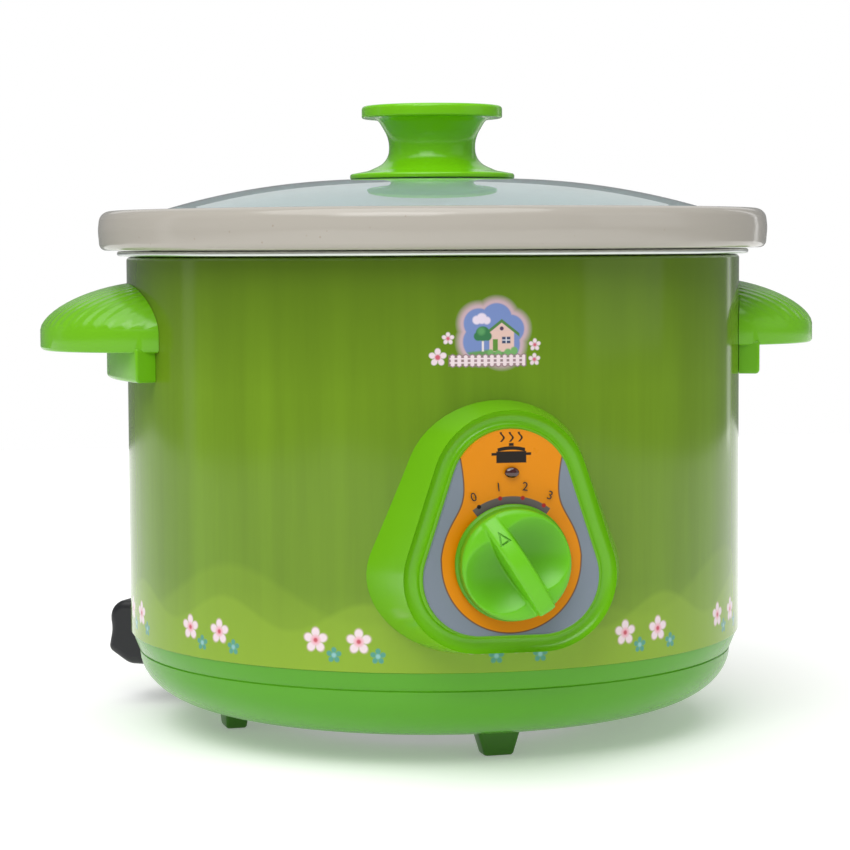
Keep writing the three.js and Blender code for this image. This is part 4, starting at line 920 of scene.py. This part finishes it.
def build_liner():
    flange = half_width("heater_liner")
    floor, top = levels("heater_liner")
    wall = millimetres(sizes().drum_radius) - 7.6
    outline = rounded(
        [
            (0, floor),
            (wall, floor, 10),
            (wall, top - 1.8, 1),
            (flange, top - 1.8, 0.9),
            (flange, top, 0.85),
            (wall - 1.2, top, 2),
            (wall - 1.2, floor + 1.2, 8.8),
            (0, floor + 1.2),
        ],
        steps=6,
    )
    liner = lathe("heater_liner", outline)
    material = spun_metal("liner_aluminium", linear(214, 218, 214))
    hand_over(liner, "base", "liner_metal", material, "heater_liner")


def build_crock():
    s = sizes()
    rim = millimetres(s.rim_radius)
    top = millimetres(s.rim_top)
    wall = millimetres(s.drum_radius) - 10.4
    low = millimetres(RIM_LOW.z)
    outline = rounded(
        [
            (0, low + 1),
            (wall - 20, low + 1, 0.5),
            (wall - 19, low, 0.5),
            (wall, low, 12),
            (wall, top - 14.4, 2.5),
            (rim - 0.6, top - 14.4, 2.6),
            (rim, top - 7, 12),
            (rim - 0.8, top, 4.2),
            (wall + 3.2, top, 3.4),
            (wall + 1.6, top - 5, 1.2),
            (wall - 6.6, top - 5, 2.4),
            (wall - 6.6, low + 8, 14),
            (0, low + 8),
        ],
        steps=8,
    )
    crock = lathe("crock", outline)
    hand_over(crock, "crock", "crock_glaze", glaze(), "crock")


def build_lid():
    neck, thick = 27, 3.6
    edge = half_width("lid_glass")
    brim, land = levels("lid_glass")
    rise = land - brim - 4
    count = 28
    radii = [neck + (edge - neck) * k / count for k in range(count + 1)]
    upper = [(r, land - rise * ((r - neck) / (edge - neck)) ** 2) for r in radii]
    lower = [(r - 0.4, z - thick) for r, z in reversed(upper)]
    end = upper[-1][1]
    bead = [(1.4, -0.55), (0.3, 0.6), (0, 2), (0.3, 3.2), (1.4, 3.9)]
    outline = [(3, land), *upper[:-1], *((edge - i, end - d) for i, d in bead)]
    outline += [*lower[1:], (3, land - thick)]
    dome = lathe("lid_glass", outline, steps=160)
    turn = math.radians(46)
    deselect()
    bpy.ops.mesh.primitive_cylinder_add(
        vertices=32,
        radius=1.6 * MM,
        depth=40 * MM,
        location=at(75 * math.sin(turn), -75 * math.cos(turn), land),
    )
    vent = bpy.context.object
    bpy.ops.object.transform_apply()
    carve(dome, vent)
    shade()
    hand_over(dome, "lid", "lid_glass", glass(), "lid_glass")
    build_lid_knob()


def build_lid_knob():
    """The lid's flanged knob, with the washer and the screw that hold it."""
    low, _ = levels("lid_knob")
    outline = rounded(
        [
            (2.3, low), (4.7, low), (4.7, low + 1), (4.7, low + 21), (13, low + 21, 2),
            (13, low, 0.3), (30.7, low, 0.5), (30.7, low + 1.8, 0.9), (24, low + 3.0, 8),
            (16.2, low + 6.5, 7), (16.0, low + 15, 12), (20.4, low + 22.5, 4),
            (26.2, low + 22.5, 0.7), (26.2, low + 27, 1.3), (12, low + 27.2, 30),
            (0.02, low + 27.2), (0, low + 27.2), (0, low + 22), (2.3, low + 22),
        ],
        steps=7,
    )
    knob = lathe("lid_knob", outline, steps=96)
    green = plastic("lid_knob_plastic", colours().lid_knob, 0.14, 0.24)
    hand_over(knob, "lid", "lid_knob_plastic", green, "lid_knob")

    low, high = levels("lid_washer")
    outline = rounded([(2.2, low), (9, low, 0.6), (9, high, 0.4), (2.2, high)])
    washer = lathe("lid_washer", outline, steps=SMALL_STEPS)
    silicone = rough_stuff("silicone", (0.7, 0.7, 0.68), 0.6, 0.5, 0.02)
    hand_over(washer, "lid", "silicone", silicone, "lid_washer")

    low, high = levels("lid_screw")
    head = low + 2.2
    outline = rounded([(0, low), (5, low, 1.6), (5, head, 0.3), (2, head), (2, high, 0.5), (0, high)])
    screw = lathe("lid_screw", outline, steps=SMALL_STEPS)
    for size in ((6, 1.1, 2.2), (1.1, 6, 2.2)):
        carve(screw, box_cutter(size, at(0, 0, low)))
    shade()
    zinc = metal("screw_zinc", (0.6, 0.6, 0.58))
    hand_over(screw, "lid", "screw_steel", zinc, "lid_screw")


def build_handle(name, side):
    """A D-shaped grip with a crowned top, a lug under its root and a hollow underneath."""
    s = sizes()
    tip, half = millimetres(s.handle_reach), millimetres(s.handle_width)
    root = math.sqrt(millimetres(s.drum_radius) ** 2 - half**2)
    low, _ = levels(name)
    bottom = low + 10.6
    reach = tip - root
    blunt, square = 1.7, 2.5  # powers that shape the outline outwards and across
    count = 56
    places = []
    for k in range(count + 1):
        t = math.pi * k / count
        across = math.copysign(abs(math.cos(t)) ** (2 / square), math.cos(t))
        out = root + reach * math.sin(t) ** (2 / blunt)
        places.append(at(side * out, half * across, bottom))
    anchor = at(side * root, 0, bottom)
    grip = draw(name, places)
    bpy.ops.mesh.edge_face_add()
    resize((0.975, 0.98, 1), anchor)
    extrude(UP * 0.35 * MM)
    resize((1 / 0.985, 1 / 0.988, 1), anchor)
    extrude(UP * 0.75 * MM)
    resize((0.985 / 0.975, 0.988 / 0.98, 1), anchor)
    extrude(UP * 6.1 * MM)
    last = 1.0
    risen = 0.0
    steps, crown = 16, 17.4
    for k in range(1, steps + 1):
        t = math.pi / 2 * k / steps
        height = crown * math.sin(t)
        share = max(1 - math.sin(t) ** (1 / 0.6), 0.0008)
        extrude(UP * (height - risen) * MM)
        factor = (share / last) ** (1 / blunt), (share / last) ** (1 / square)
        resize((*factor, 1), anchor)
        last, risen = share, height
    close_up(28)

    hollow = draw("hollow", [anchor + (p - anchor) * 0.9 for p in places])
    bpy.ops.mesh.edge_face_add()
    bpy.ops.transform.translate(value=-UP * 2 * MM)
    extrude(UP * 9.5 * MM)
    resize((0.96, 0.97, 1), anchor)
    close_up()
    carve(hollow, round_cutter(121.4))
    carve(grip, hollow)
    carve(grip, drum_cutter())

    angle = math.degrees(math.asin(half / 121.7))
    high = bottom + 1.5
    corners = rounded([(112, low, 0.8), (121.6, low, 1.4), (121.6, high), (112, high)])
    lug = draw("lug", [at(side * r, 0, z) for r, z in corners])
    bpy.ops.mesh.edge_face_add()
    bpy.ops.mesh.select_all(action="SELECT")
    turn_about_axis(-angle)
    bpy.ops.mesh.spin(steps=28, angle=-2 * math.radians(angle), center=AXIS, axis=UP)
    close_up()
    soften(lug, 1.0)
    carve(lug, drum_cutter())
    carve(grip, lug, "UNION")
    shade(30)
    ribbed = handle_plastic(name, side, colours().plastic)
    hand_over(grip, "base", "handle_plastic", ribbed, name)


def handle_plastic(name, side, base):
    """Glossy plastic with fine ribs over the crown."""
    finish = Finish(f"{name}_plastic", base, 0.18, specular_ior_level=0.38)
    place = finish.place()
    x, y, z = finish.split(place)
    finish.set("Base Color", finish.tint(place, base, 0.03, 0.05))
    finish.uneven(place, 0.16, 0.28, 0.12)
    fan = y.sum("ARCTAN2", x * side)
    rib = (fan * (math.tau * 125 / 3.6)).sum("SINE")
    ribs = (rib * 0.5 + 0.5).both(((z - 148.6) / 1.5).limited())
    finish.bump(ribs + finish.noise(place, 0.35, 2.0) * 0.06, 0.22)
    return finish.material


def housing_outline(offset, steps=20):
    """Points (x, z) round one circle over two others, all grown by an offset."""
    top_z, corner_x, corner_z = 13.9, 10.4, -14.9
    top, corner = 20 + offset, 19 + offset
    drop = corner_z - top_z
    slope = math.atan2(drop, corner_x) + math.acos((top - corner) / math.hypot(corner_x, drop))
    points = []

    def arc(cx, cz, radius, start, end):
        for k in range(steps + 1):
            t = start + (end - start) * k / steps
            points.append((cx + radius * math.cos(t), cz + radius * math.sin(t)))

    arc(0, top_z, top, slope, math.pi - slope)
    arc(-corner_x, corner_z, corner, math.pi - slope, 1.5 * math.pi)
    arc(corner_x, corner_z, corner, -0.5 * math.pi, slope)
    unique = [p for k, p in enumerate(points) if k == 0 or math.dist(p, points[k - 1]) > 0.05]
    return unique if math.dist(unique[0], unique[-1]) > 0.05 else unique[:-1]


def panel_centre():
    return Vector((AXIS.x, 0, (PANEL_LOW.z + PANEL_HIGH.z) / 2))


def build_housing():
    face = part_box("control_housing")[0].y
    back = AXIS.y - 100 * MM
    middle = panel_centre()
    depth = millimetres(back - face)
    outline = housing_outline(5.6)

    def flare(deep):
        """How much wider and taller the housing is, this far behind its front."""
        return 1 + 0.0086 * deep, 1 + 0.0034 * deep

    wide, tall = flare(depth)
    rear = middle + Vector((0, back, 0))
    root = [rear + Vector((x * wide, 0, z * tall)) * MM for x, z in outline]
    housing = draw("control_housing", root)
    bpy.ops.mesh.edge_face_add()
    steps = 10
    round_off = 3.3
    lean = math.radians(14)
    crest = round_off * (1 - math.sin(lean))
    for k in range(1, steps + 1):
        extrude(FRONT * (depth - crest) / steps * MM)
        narrower, lower = flare(depth - (depth - crest) * k / steps)
        resize((narrower / wide, 1, lower / tall), middle)
        wide, tall = narrower, lower
    turns = [lean + (math.pi / 2 - lean) * k / 8 for k in range(9)]
    path = [
        (round_off * (math.cos(lean) - math.cos(t)), round_off * (math.sin(t) - math.sin(lean)))
        for t in turns
    ]
    inner, rise = path[-1]
    path += [(inner + 0.8, rise + 0.05)]
    path += [
        (inner + 0.8 + 1.2 * math.sin(t), rise - 1.2 * (1 - math.cos(t)))
        for t in (math.pi / 8 * k for k in range(1, 5))
    ]
    path += [(inner + 2.1, rise - 2.2)]
    for (inner, rise), (inner_next, rise_next) in zip(path, path[1:]):
        step = {"thickness": (inner_next - inner) * MM, "depth": (rise_next - rise) * MM}
        bpy.ops.mesh.inset(use_even_offset=True, **step)
    close_up(28)
    carve(housing, drum_cutter())
    shade(28)
    green = plastic("housing_plastic", colours().plastic)
    hand_over(housing, "base", "housing_plastic", green, "control_housing")


def build_panel():
    middle = panel_centre()
    front = PANEL_LOW.y
    outline = housing_outline(-0.1)
    places = [middle + Vector((x, 0, z)) * MM + Vector((0, front + 1.6 * MM, 0)) for x, z in outline]
    panel = plate("control_panel", places, FRONT * 1.35 * MM)
    bpy.ops.mesh.inset(thickness=0.25 * MM, depth=0.15 * MM)
    bpy.ops.mesh.inset(thickness=0.4 * MM, depth=0.1 * MM)
    close_up(50)
    height = sizes().dial_height
    deselect()
    bpy.ops.mesh.primitive_cylinder_add(
        vertices=64,
        radius=5 * MM,
        depth=10 * MM,
        location=(AXIS.x, front, height),
        rotation=(math.pi / 2, 0, 0),
    )
    hole = bpy.context.object
    bpy.ops.object.transform_apply()
    carve(panel, hole)
    shade(50)
    hand_over(panel, "base", "panel", panel_print(), "control_panel")

    low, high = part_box("indicator_lens")
    centre = Vector((AXIS.x, front - 0.1 * MM, (low.z + high.z) / 2))
    lens = lathe(
        "indicator_lens",
        [(0, 0), (2.4, 0), (2.4, 0.5), (2.2, 0.85), (1.7, 1.15), (1.0, 1.35), (0, 1.45)],
        centre=centre,
        along=FRONT,
        steps=SMALL_STEPS,
    )
    bpy.ops.object.mode_set(mode="EDIT")
    bpy.ops.mesh.select_all(action="SELECT")
    resize((1, 1, 0.73), centre)
    bpy.ops.object.mode_set(mode="OBJECT")
    ruby = Finish("indicator_ruby", linear(58, 12, 10), 0.08, coat_weight=1.0)
    ruby.set("Base Color", ruby.tint(ruby.place(), linear(58, 12, 10), 0.5, 0.2))
    ruby.bump(ruby.noise(ruby.place(), 1.5, 1.0), 0.02)
    hand_over(lens, "base", "lens", ruby.material, "indicator_lens")

    ink = Finish("scale_ink", linear(30, 24, 20), 0.5)
    ink.set("Base Color", ink.tint(ink.place(), linear(30, 24, 20), 0.8, 0.2))
    ink.uneven(ink.place(), 0.4, 0.6, 0.6)
    for number, degrees in enumerate(SCALE_MARKS):
        turn = math.radians(degrees)
        deselect()
        bpy.ops.object.text_add(location=(0, 0, 0))
        mark = bpy.context.object
        mark.name = f"scale_number_{number}"
        mark.data.body = str(number)
        mark.data.align_x = "CENTER"
        mark.data.align_y = "CENTER"
        mark.data.size = 4.1 * MM
        mark.data.extrude = 0.05 * MM
        mark.data.resolution_u = 4
        mark.rotation_euler = (math.pi / 2, turn * 0.6, 0)
        mark.location = (
            AXIS.x + NUMBERS_OUT * MM * math.sin(turn),
            front - 0.26 * MM,
            height + NUMBERS_OUT * MM * math.cos(turn),
        )
        bpy.ops.object.convert(target="MESH")
        bpy.ops.object.transform_apply()
        hand_over(bpy.context.object, "base", "panel", ink.material)


def build_dial():
    """A round dial with a grip bar between two soft hollows."""
    s = sizes()
    centre = Vector((AXIS.x, KNOB_HIGH.y, s.dial_height))
    body = millimetres(s.dial_radius)
    outline = rounded(
        [
            (0, 3), (7.8, 3), (7.8, 0), (19.3, 0, 0.3), (19.3, 1.4, 0.5), (body + 0.1, 2.2, 0.4),
            (body, 7.4, 1.5), (body - 1.6, 8.3, 2.0), (11, 8.9, 12), (0, 9.2),
        ],
        closed=False,
        steps=6,
    )
    dial = lathe("control_knob", outline, centre, FRONT, 128)
    turn = math.radians(DIAL_REST)
    across = Vector((math.cos(turn), 0, -math.sin(turn)))
    along = Vector((math.sin(turn), 0, math.cos(turn)))
    scoop_radius = 20
    for side in (-1, 1):
        deselect()
        middle = centre + across * side * 7.2 * MM + FRONT * (scoop_radius + 4.4) * MM
        bpy.ops.mesh.primitive_uv_sphere_add(
            segments=96, ring_count=64, radius=scoop_radius * MM, location=middle
        )
        scoop = bpy.context.object
        bpy.ops.object.transform_apply()
        carve(dial, scoop)

    half = body - 0.4
    limit = lathe(
        "limit",
        rounded([(0, 0), (half, 0), (half, 12.2, 2.6), (half - 6, 15.6), (0, 17)]),
        centre, FRONT, 96,
    )
    carve(dial, carve(grip_bar(centre, half, turn), limit, "INTERSECT"), "UNION")
    modify(dial, "REMESH", mode="VOXEL", voxel_size=0.34 * MM)
    modify(dial, "SMOOTH", factor=0.5, iterations=9)
    carve(dial, pointer_mark(centre, across, along))
    shade(46)
    hand_over(dial, "knob", "knob_plastic", dial_plastic(centre.y), "control_knob")


def grip_bar(centre, half, turn):
    """A bar with leaning flanks that rises from its pointed end and is widest in the middle."""
    low = 2.6
    section = rounded([(-4.3, low), (4.3, low), (3.1, 15, 1.5), (-3.1, 15, 1.5)], steps=6)
    steps = 32
    start = half + 1
    bar = draw("bar", [centre + Vector((x, -b, start)) * MM for x, b in section])
    bpy.ops.mesh.edge_face_add()

    def scale(a):
        share = a / half
        wide = 1 - (0.16 if share > 0 else 0.1) * share**2
        swell = math.sin(math.pi / 2 * min((half - min(a, half)) / 19, 1))
        fall = max(-4 - a, 0) / (half - 4)
        return wide, (5.6 + 6.8 * swell - 2.2 * fall**2) / 12.4

    base = centre + FRONT * low * MM
    wide, high = scale(start)
    resize((wide, high, 1), base)
    for k in range(steps):
        extrude(-UP * 2 * start / steps * MM)
        wider, higher = scale(start - 2 * start * (k + 1) / steps)
        resize((wider / wide, higher / high, 1), base)
        wide, high = wider, higher
    bpy.ops.mesh.select_all(action="SELECT")
    bpy.ops.transform.rotate(value=-turn, orient_axis="Y", center_override=tuple(centre))
    close_up(40)
    return bar


def dial_plastic(back):
    """The dial's glossy plastic, with painted shade in its hollows and at its foot."""
    base = colours().dial
    finish = Finish("dial_plastic", base, 0.14, specular_ior_level=0.38)
    place = finish.place()
    _, y, _ = finish.split(place)
    height = millimetres(back - AXIS.y) - y
    # Painted shade: the lower the surface lies, in the hollows and round the foot, the darker the
    # green.
    depth = ((8.4 - height) / 4.4).limited()
    tinted = finish.tint(place, base, 0.03, 0.05)
    finish.set("Base Color", finish.mix(depth * 0.8, tinted, tuple(v * 0.5 for v in base)))
    finish.uneven(place, 0.28, 0.38, 0.12)
    finish.bump(finish.noise(place, 0.35, 2.0), 0.04, 0.35)
    return finish.material


def pointer_mark(centre, across, along):
    """The outline of a small triangle, as a cutter that sinks it into the bar's crest."""

    def on_crest(corners, sunk):
        """Corners (across, along) laid on the bar's slope, this far under its surface."""
        return [
            centre + across * a * MM + along * b * MM + FRONT * (13.6 - 0.41 * (b - 6.4) - sunk) * MM
            for a, b in corners
        ]

    mark = plate("pointer", on_crest([(-2.1, 9.1), (2.1, 9.1), (0, 13.5)], 0.6), FRONT * 4 * MM)
    close_up()
    places = on_crest([(-1.15, 9.7), (1.15, 9.7), (0, 12.1)], 2)
    island = plate("island", places, FRONT * 8 * MM)
    close_up()
    return carve(mark, island)


def build_inlet():
    """The black inlet with its socket, and its three pins."""
    middle = 27.5
    face = -131
    corners = [
        (-98, middle - 14.5), (-98, middle + 12.5), (face, middle + 12.5, 7),
        (face + 1.6, middle + 1, 12), (face, middle - 7, 3), (face + 9, middle - 12.5, 8),
        (-105, middle - 12.5),
    ]
    places = [at(-17, y, z) for y, z in rounded(corners, steps=8)]
    hood = plate("inlet_shroud", places, Vector((34, 0, 0)) * MM)
    close_up(30)
    soften(hood, 3.2, 5, 60)
    socket = box_cutter((22, 25, 15), at(0, face + 2.5, middle))
    soften(socket, 2.2, 4)
    carve(hood, socket)
    turn_piece(hood, INLET_ANGLE)
    top = millimetres(sizes().drum_radius)
    seam = millimetres(sizes().seam)
    skin = [(0, 0), *quarter_round(BASE_FLAT, seam - BASE_HEIGHT - 0.1, 27.6, 19, 18)]
    skin += [(top - 0.6, seam), (top + 0.2, seam + 0.1), (top + 0.2, 60), (0, 60)]
    carve(hood, lathe("skin", skin))
    shade(30)
    black = rough_stuff("inlet_black", linear(22, 23, 27), 0.42, 0.6, 0.03)
    hand_over(hood, "base", "black_plastic", black, "inlet_shroud")
    brass = metal("pin_brass", linear(205, 178, 110), 0.2, 0.35)
    for name, x, z in (("neutral", -5.5, 3), ("live", 5.5, 3), ("earth", 0, -3)):
        pin = box_cutter((4, 24, 1.8), at(x, -113.6, middle + z))
        soften(pin, 0.5)
        pin.name = f"inlet_pin_{name}"
        turn_piece(pin, INLET_ANGLE)
        hand_over(pin, "base", "pin_brass", brass, f"inlet_pin_{name}")


def dress_inner_parts():
    """Finishes for the frame's own nodes that stay in view or under the skin."""
    steel = metal("fastener_zinc", (0.6, 0.61, 0.6))
    sheet = metal("sheet_zinc", (0.52, 0.53, 0.54), 0.3, 0.5)
    mica = rough_stuff("mica", linear(190, 166, 124), 0.7, 0.3, 0.05)
    fibre = rough_stuff("glass_fibre", linear(232, 228, 216), 0.9, 1.4, 0.2)
    brown = rough_stuff("thermostat_brown", linear(110, 76, 48), 0.6)
    white = rough_stuff("terminal_ceramic", linear(238, 234, 222), 0.6)
    dark = rough_stuff("switch_brown", linear(52, 48, 44), 0.55)
    lamp = rough_stuff("lamp_glow", linear(226, 124, 70), 0.3)
    looks = {
        "band_heater": mica, "floor_heater": mica, "insulation_sleeve": fibre, "heater_plate": sheet,
        "thermostat": brown, "thermostat_clip": sheet, "thermal_fuse": sheet, "fuse_clamp": sheet,
        "terminal_block": white, "rotary_switch": dark, "neon_lamp": lamp,
        "live_lead": rough_stuff("lead_brown", linear(122, 60, 32), 0.5, 0.8, 0.02),
        "neutral_lead": rough_stuff("lead_blue", linear(46, 96, 174), 0.5, 0.8, 0.02),
        "earth_lead": rough_stuff("lead_green", linear(140, 172, 46), 0.5, 0.8, 0.02),
        "heater_lead": rough_stuff("lead_white", linear(216, 214, 204), 0.6, 1.2, 0.05),
        "lamp_lead": rough_stuff("lead_red", linear(176, 34, 34), 0.5, 0.8, 0.02),
    }
    for name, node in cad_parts.items():
        node.data.materials.clear()
        node.data.materials.append(looks.get(name, steel))


# ---- Tools ----


class CookerTool:
    """What all the tools share."""

    bl_options = {"REGISTER", "UNDO"}


class COOKER_OT_camera(CookerTool, bpy.types.Operator):
    """Adds the camera that looks at the cooker's front"""

    bl_idname = "cooker.camera"
    bl_label = "Camera"

    def execute(self, context):
        build_camera()
        return {"FINISHED"}


class COOKER_OT_stage(CookerTool, bpy.types.Operator):
    """Adds the pale floor and the soft lights"""

    bl_idname = "cooker.stage"
    bl_label = "Stage"

    def execute(self, context):
        build_stage()
        return {"FINISHED"}


class COOKER_OT_drum(CookerTool, bpy.types.Operator):
    """Adds the painted drum with its printed flowers and cottage"""

    bl_idname = "cooker.drum"
    bl_label = "Drum"

    def execute(self, context):
        build_drum()
        return {"FINISHED"}


class COOKER_OT_base(CookerTool, bpy.types.Operator):
    """Adds the moulded base and the vented cover under it"""

    bl_idname = "cooker.base"
    bl_label = "Base and cover"

    def execute(self, context):
        build_base()
        return {"FINISHED"}


class COOKER_OT_feet(CookerTool, bpy.types.Operator):
    """Adds the four feet"""

    bl_idname = "cooker.feet"
    bl_label = "Feet"

    def execute(self, context):
        build_feet()
        return {"FINISHED"}


class COOKER_OT_liner(CookerTool, bpy.types.Operator):
    """Adds the bright liner that the crock stands in"""

    bl_idname = "cooker.liner"
    bl_label = "Liner"

    def execute(self, context):
        build_liner()
        return {"FINISHED"}


class COOKER_OT_crock(CookerTool, bpy.types.Operator):
    """Adds the glazed crock"""

    bl_idname = "cooker.crock"
    bl_label = "Crock"

    def execute(self, context):
        build_crock()
        return {"FINISHED"}


class COOKER_OT_lid(CookerTool, bpy.types.Operator):
    """Adds the glass lid with its knob, washer and screw"""

    bl_idname = "cooker.lid"
    bl_label = "Lid"

    def execute(self, context):
        build_lid()
        return {"FINISHED"}


class COOKER_OT_handles(CookerTool, bpy.types.Operator):
    """Adds the two side handles"""

    bl_idname = "cooker.handles"
    bl_label = "Handles"

    def execute(self, context):
        build_handle("right_handle", 1)
        build_handle("left_handle", -1)
        return {"FINISHED"}


class COOKER_OT_housing(CookerTool, bpy.types.Operator):
    """Adds the control housing"""

    bl_idname = "cooker.housing"
    bl_label = "Control housing"

    def execute(self, context):
        build_housing()
        return {"FINISHED"}


class COOKER_OT_panel(CookerTool, bpy.types.Operator):
    """Adds the printed panel with its numbers and indicator"""

    bl_idname = "cooker.panel"
    bl_label = "Control panel"

    def execute(self, context):
        build_panel()
        return {"FINISHED"}


class COOKER_OT_dial(CookerTool, bpy.types.Operator):
    """Adds the dial with its grip bar"""

    bl_idname = "cooker.dial"
    bl_label = "Dial"

    def execute(self, context):
        build_dial()
        return {"FINISHED"}


class COOKER_OT_inlet(CookerTool, bpy.types.Operator):
    """Adds the power inlet and its pins"""

    bl_idname = "cooker.inlet"
    bl_label = "Power inlet"

    def execute(self, context):
        build_inlet()
        return {"FINISHED"}


class COOKER_OT_inner_parts(CookerTool, bpy.types.Operator):
    """Gives the heaters, leads and fasteners their finishes"""

    bl_idname = "cooker.inner_parts"
    bl_label = "Inner parts"

    def execute(self, context):
        dress_inner_parts()
        return {"FINISHED"}


TOOLS = (
    COOKER_OT_camera,
    COOKER_OT_stage,
    COOKER_OT_drum,
    COOKER_OT_base,
    COOKER_OT_feet,
    COOKER_OT_liner,
    COOKER_OT_crock,
    COOKER_OT_lid,
    COOKER_OT_handles,
    COOKER_OT_housing,
    COOKER_OT_panel,
    COOKER_OT_dial,
    COOKER_OT_inlet,
    COOKER_OT_inner_parts,
)


class COOKER_PT_tools(bpy.types.Panel):
    """Lists the cooker's pieces, sizes and colours"""

    bl_idname = "COOKER_PT_tools"
    bl_label = "Slow Cooker"
    bl_space_type = "VIEW_3D"
    bl_region_type = "UI"
    bl_category = "Slow Cooker"

    def draw(self, context):
        for tool in TOOLS:
            self.layout.operator(tool.bl_idname, text=tool.bl_label)
        for group in (context.scene.cooker_sizes, context.scene.cooker_colours):
            box = self.layout.box()
            for key in type(group).__annotations__:
                box.prop(group, key)


CLASSES = (CookerSizes, CookerColours, *TOOLS, COOKER_PT_tools)


def register():
    for kind in CLASSES:
        bpy.utils.register_class(kind)
    bpy.types.Scene.cooker_sizes = bpy.props.PointerProperty(type=CookerSizes)
    bpy.types.Scene.cooker_colours = bpy.props.PointerProperty(type=CookerColours)


def unregister():
    del bpy.types.Scene.cooker_colours
    del bpy.types.Scene.cooker_sizes
    for kind in reversed(CLASSES):
        bpy.utils.unregister_class(kind)


def main():
    register()
    for tool in TOOLS:
        group, name = tool.bl_idname.split(".")
        getattr(getattr(bpy.ops, group), name)()


if __name__ == "__main__":
    main()
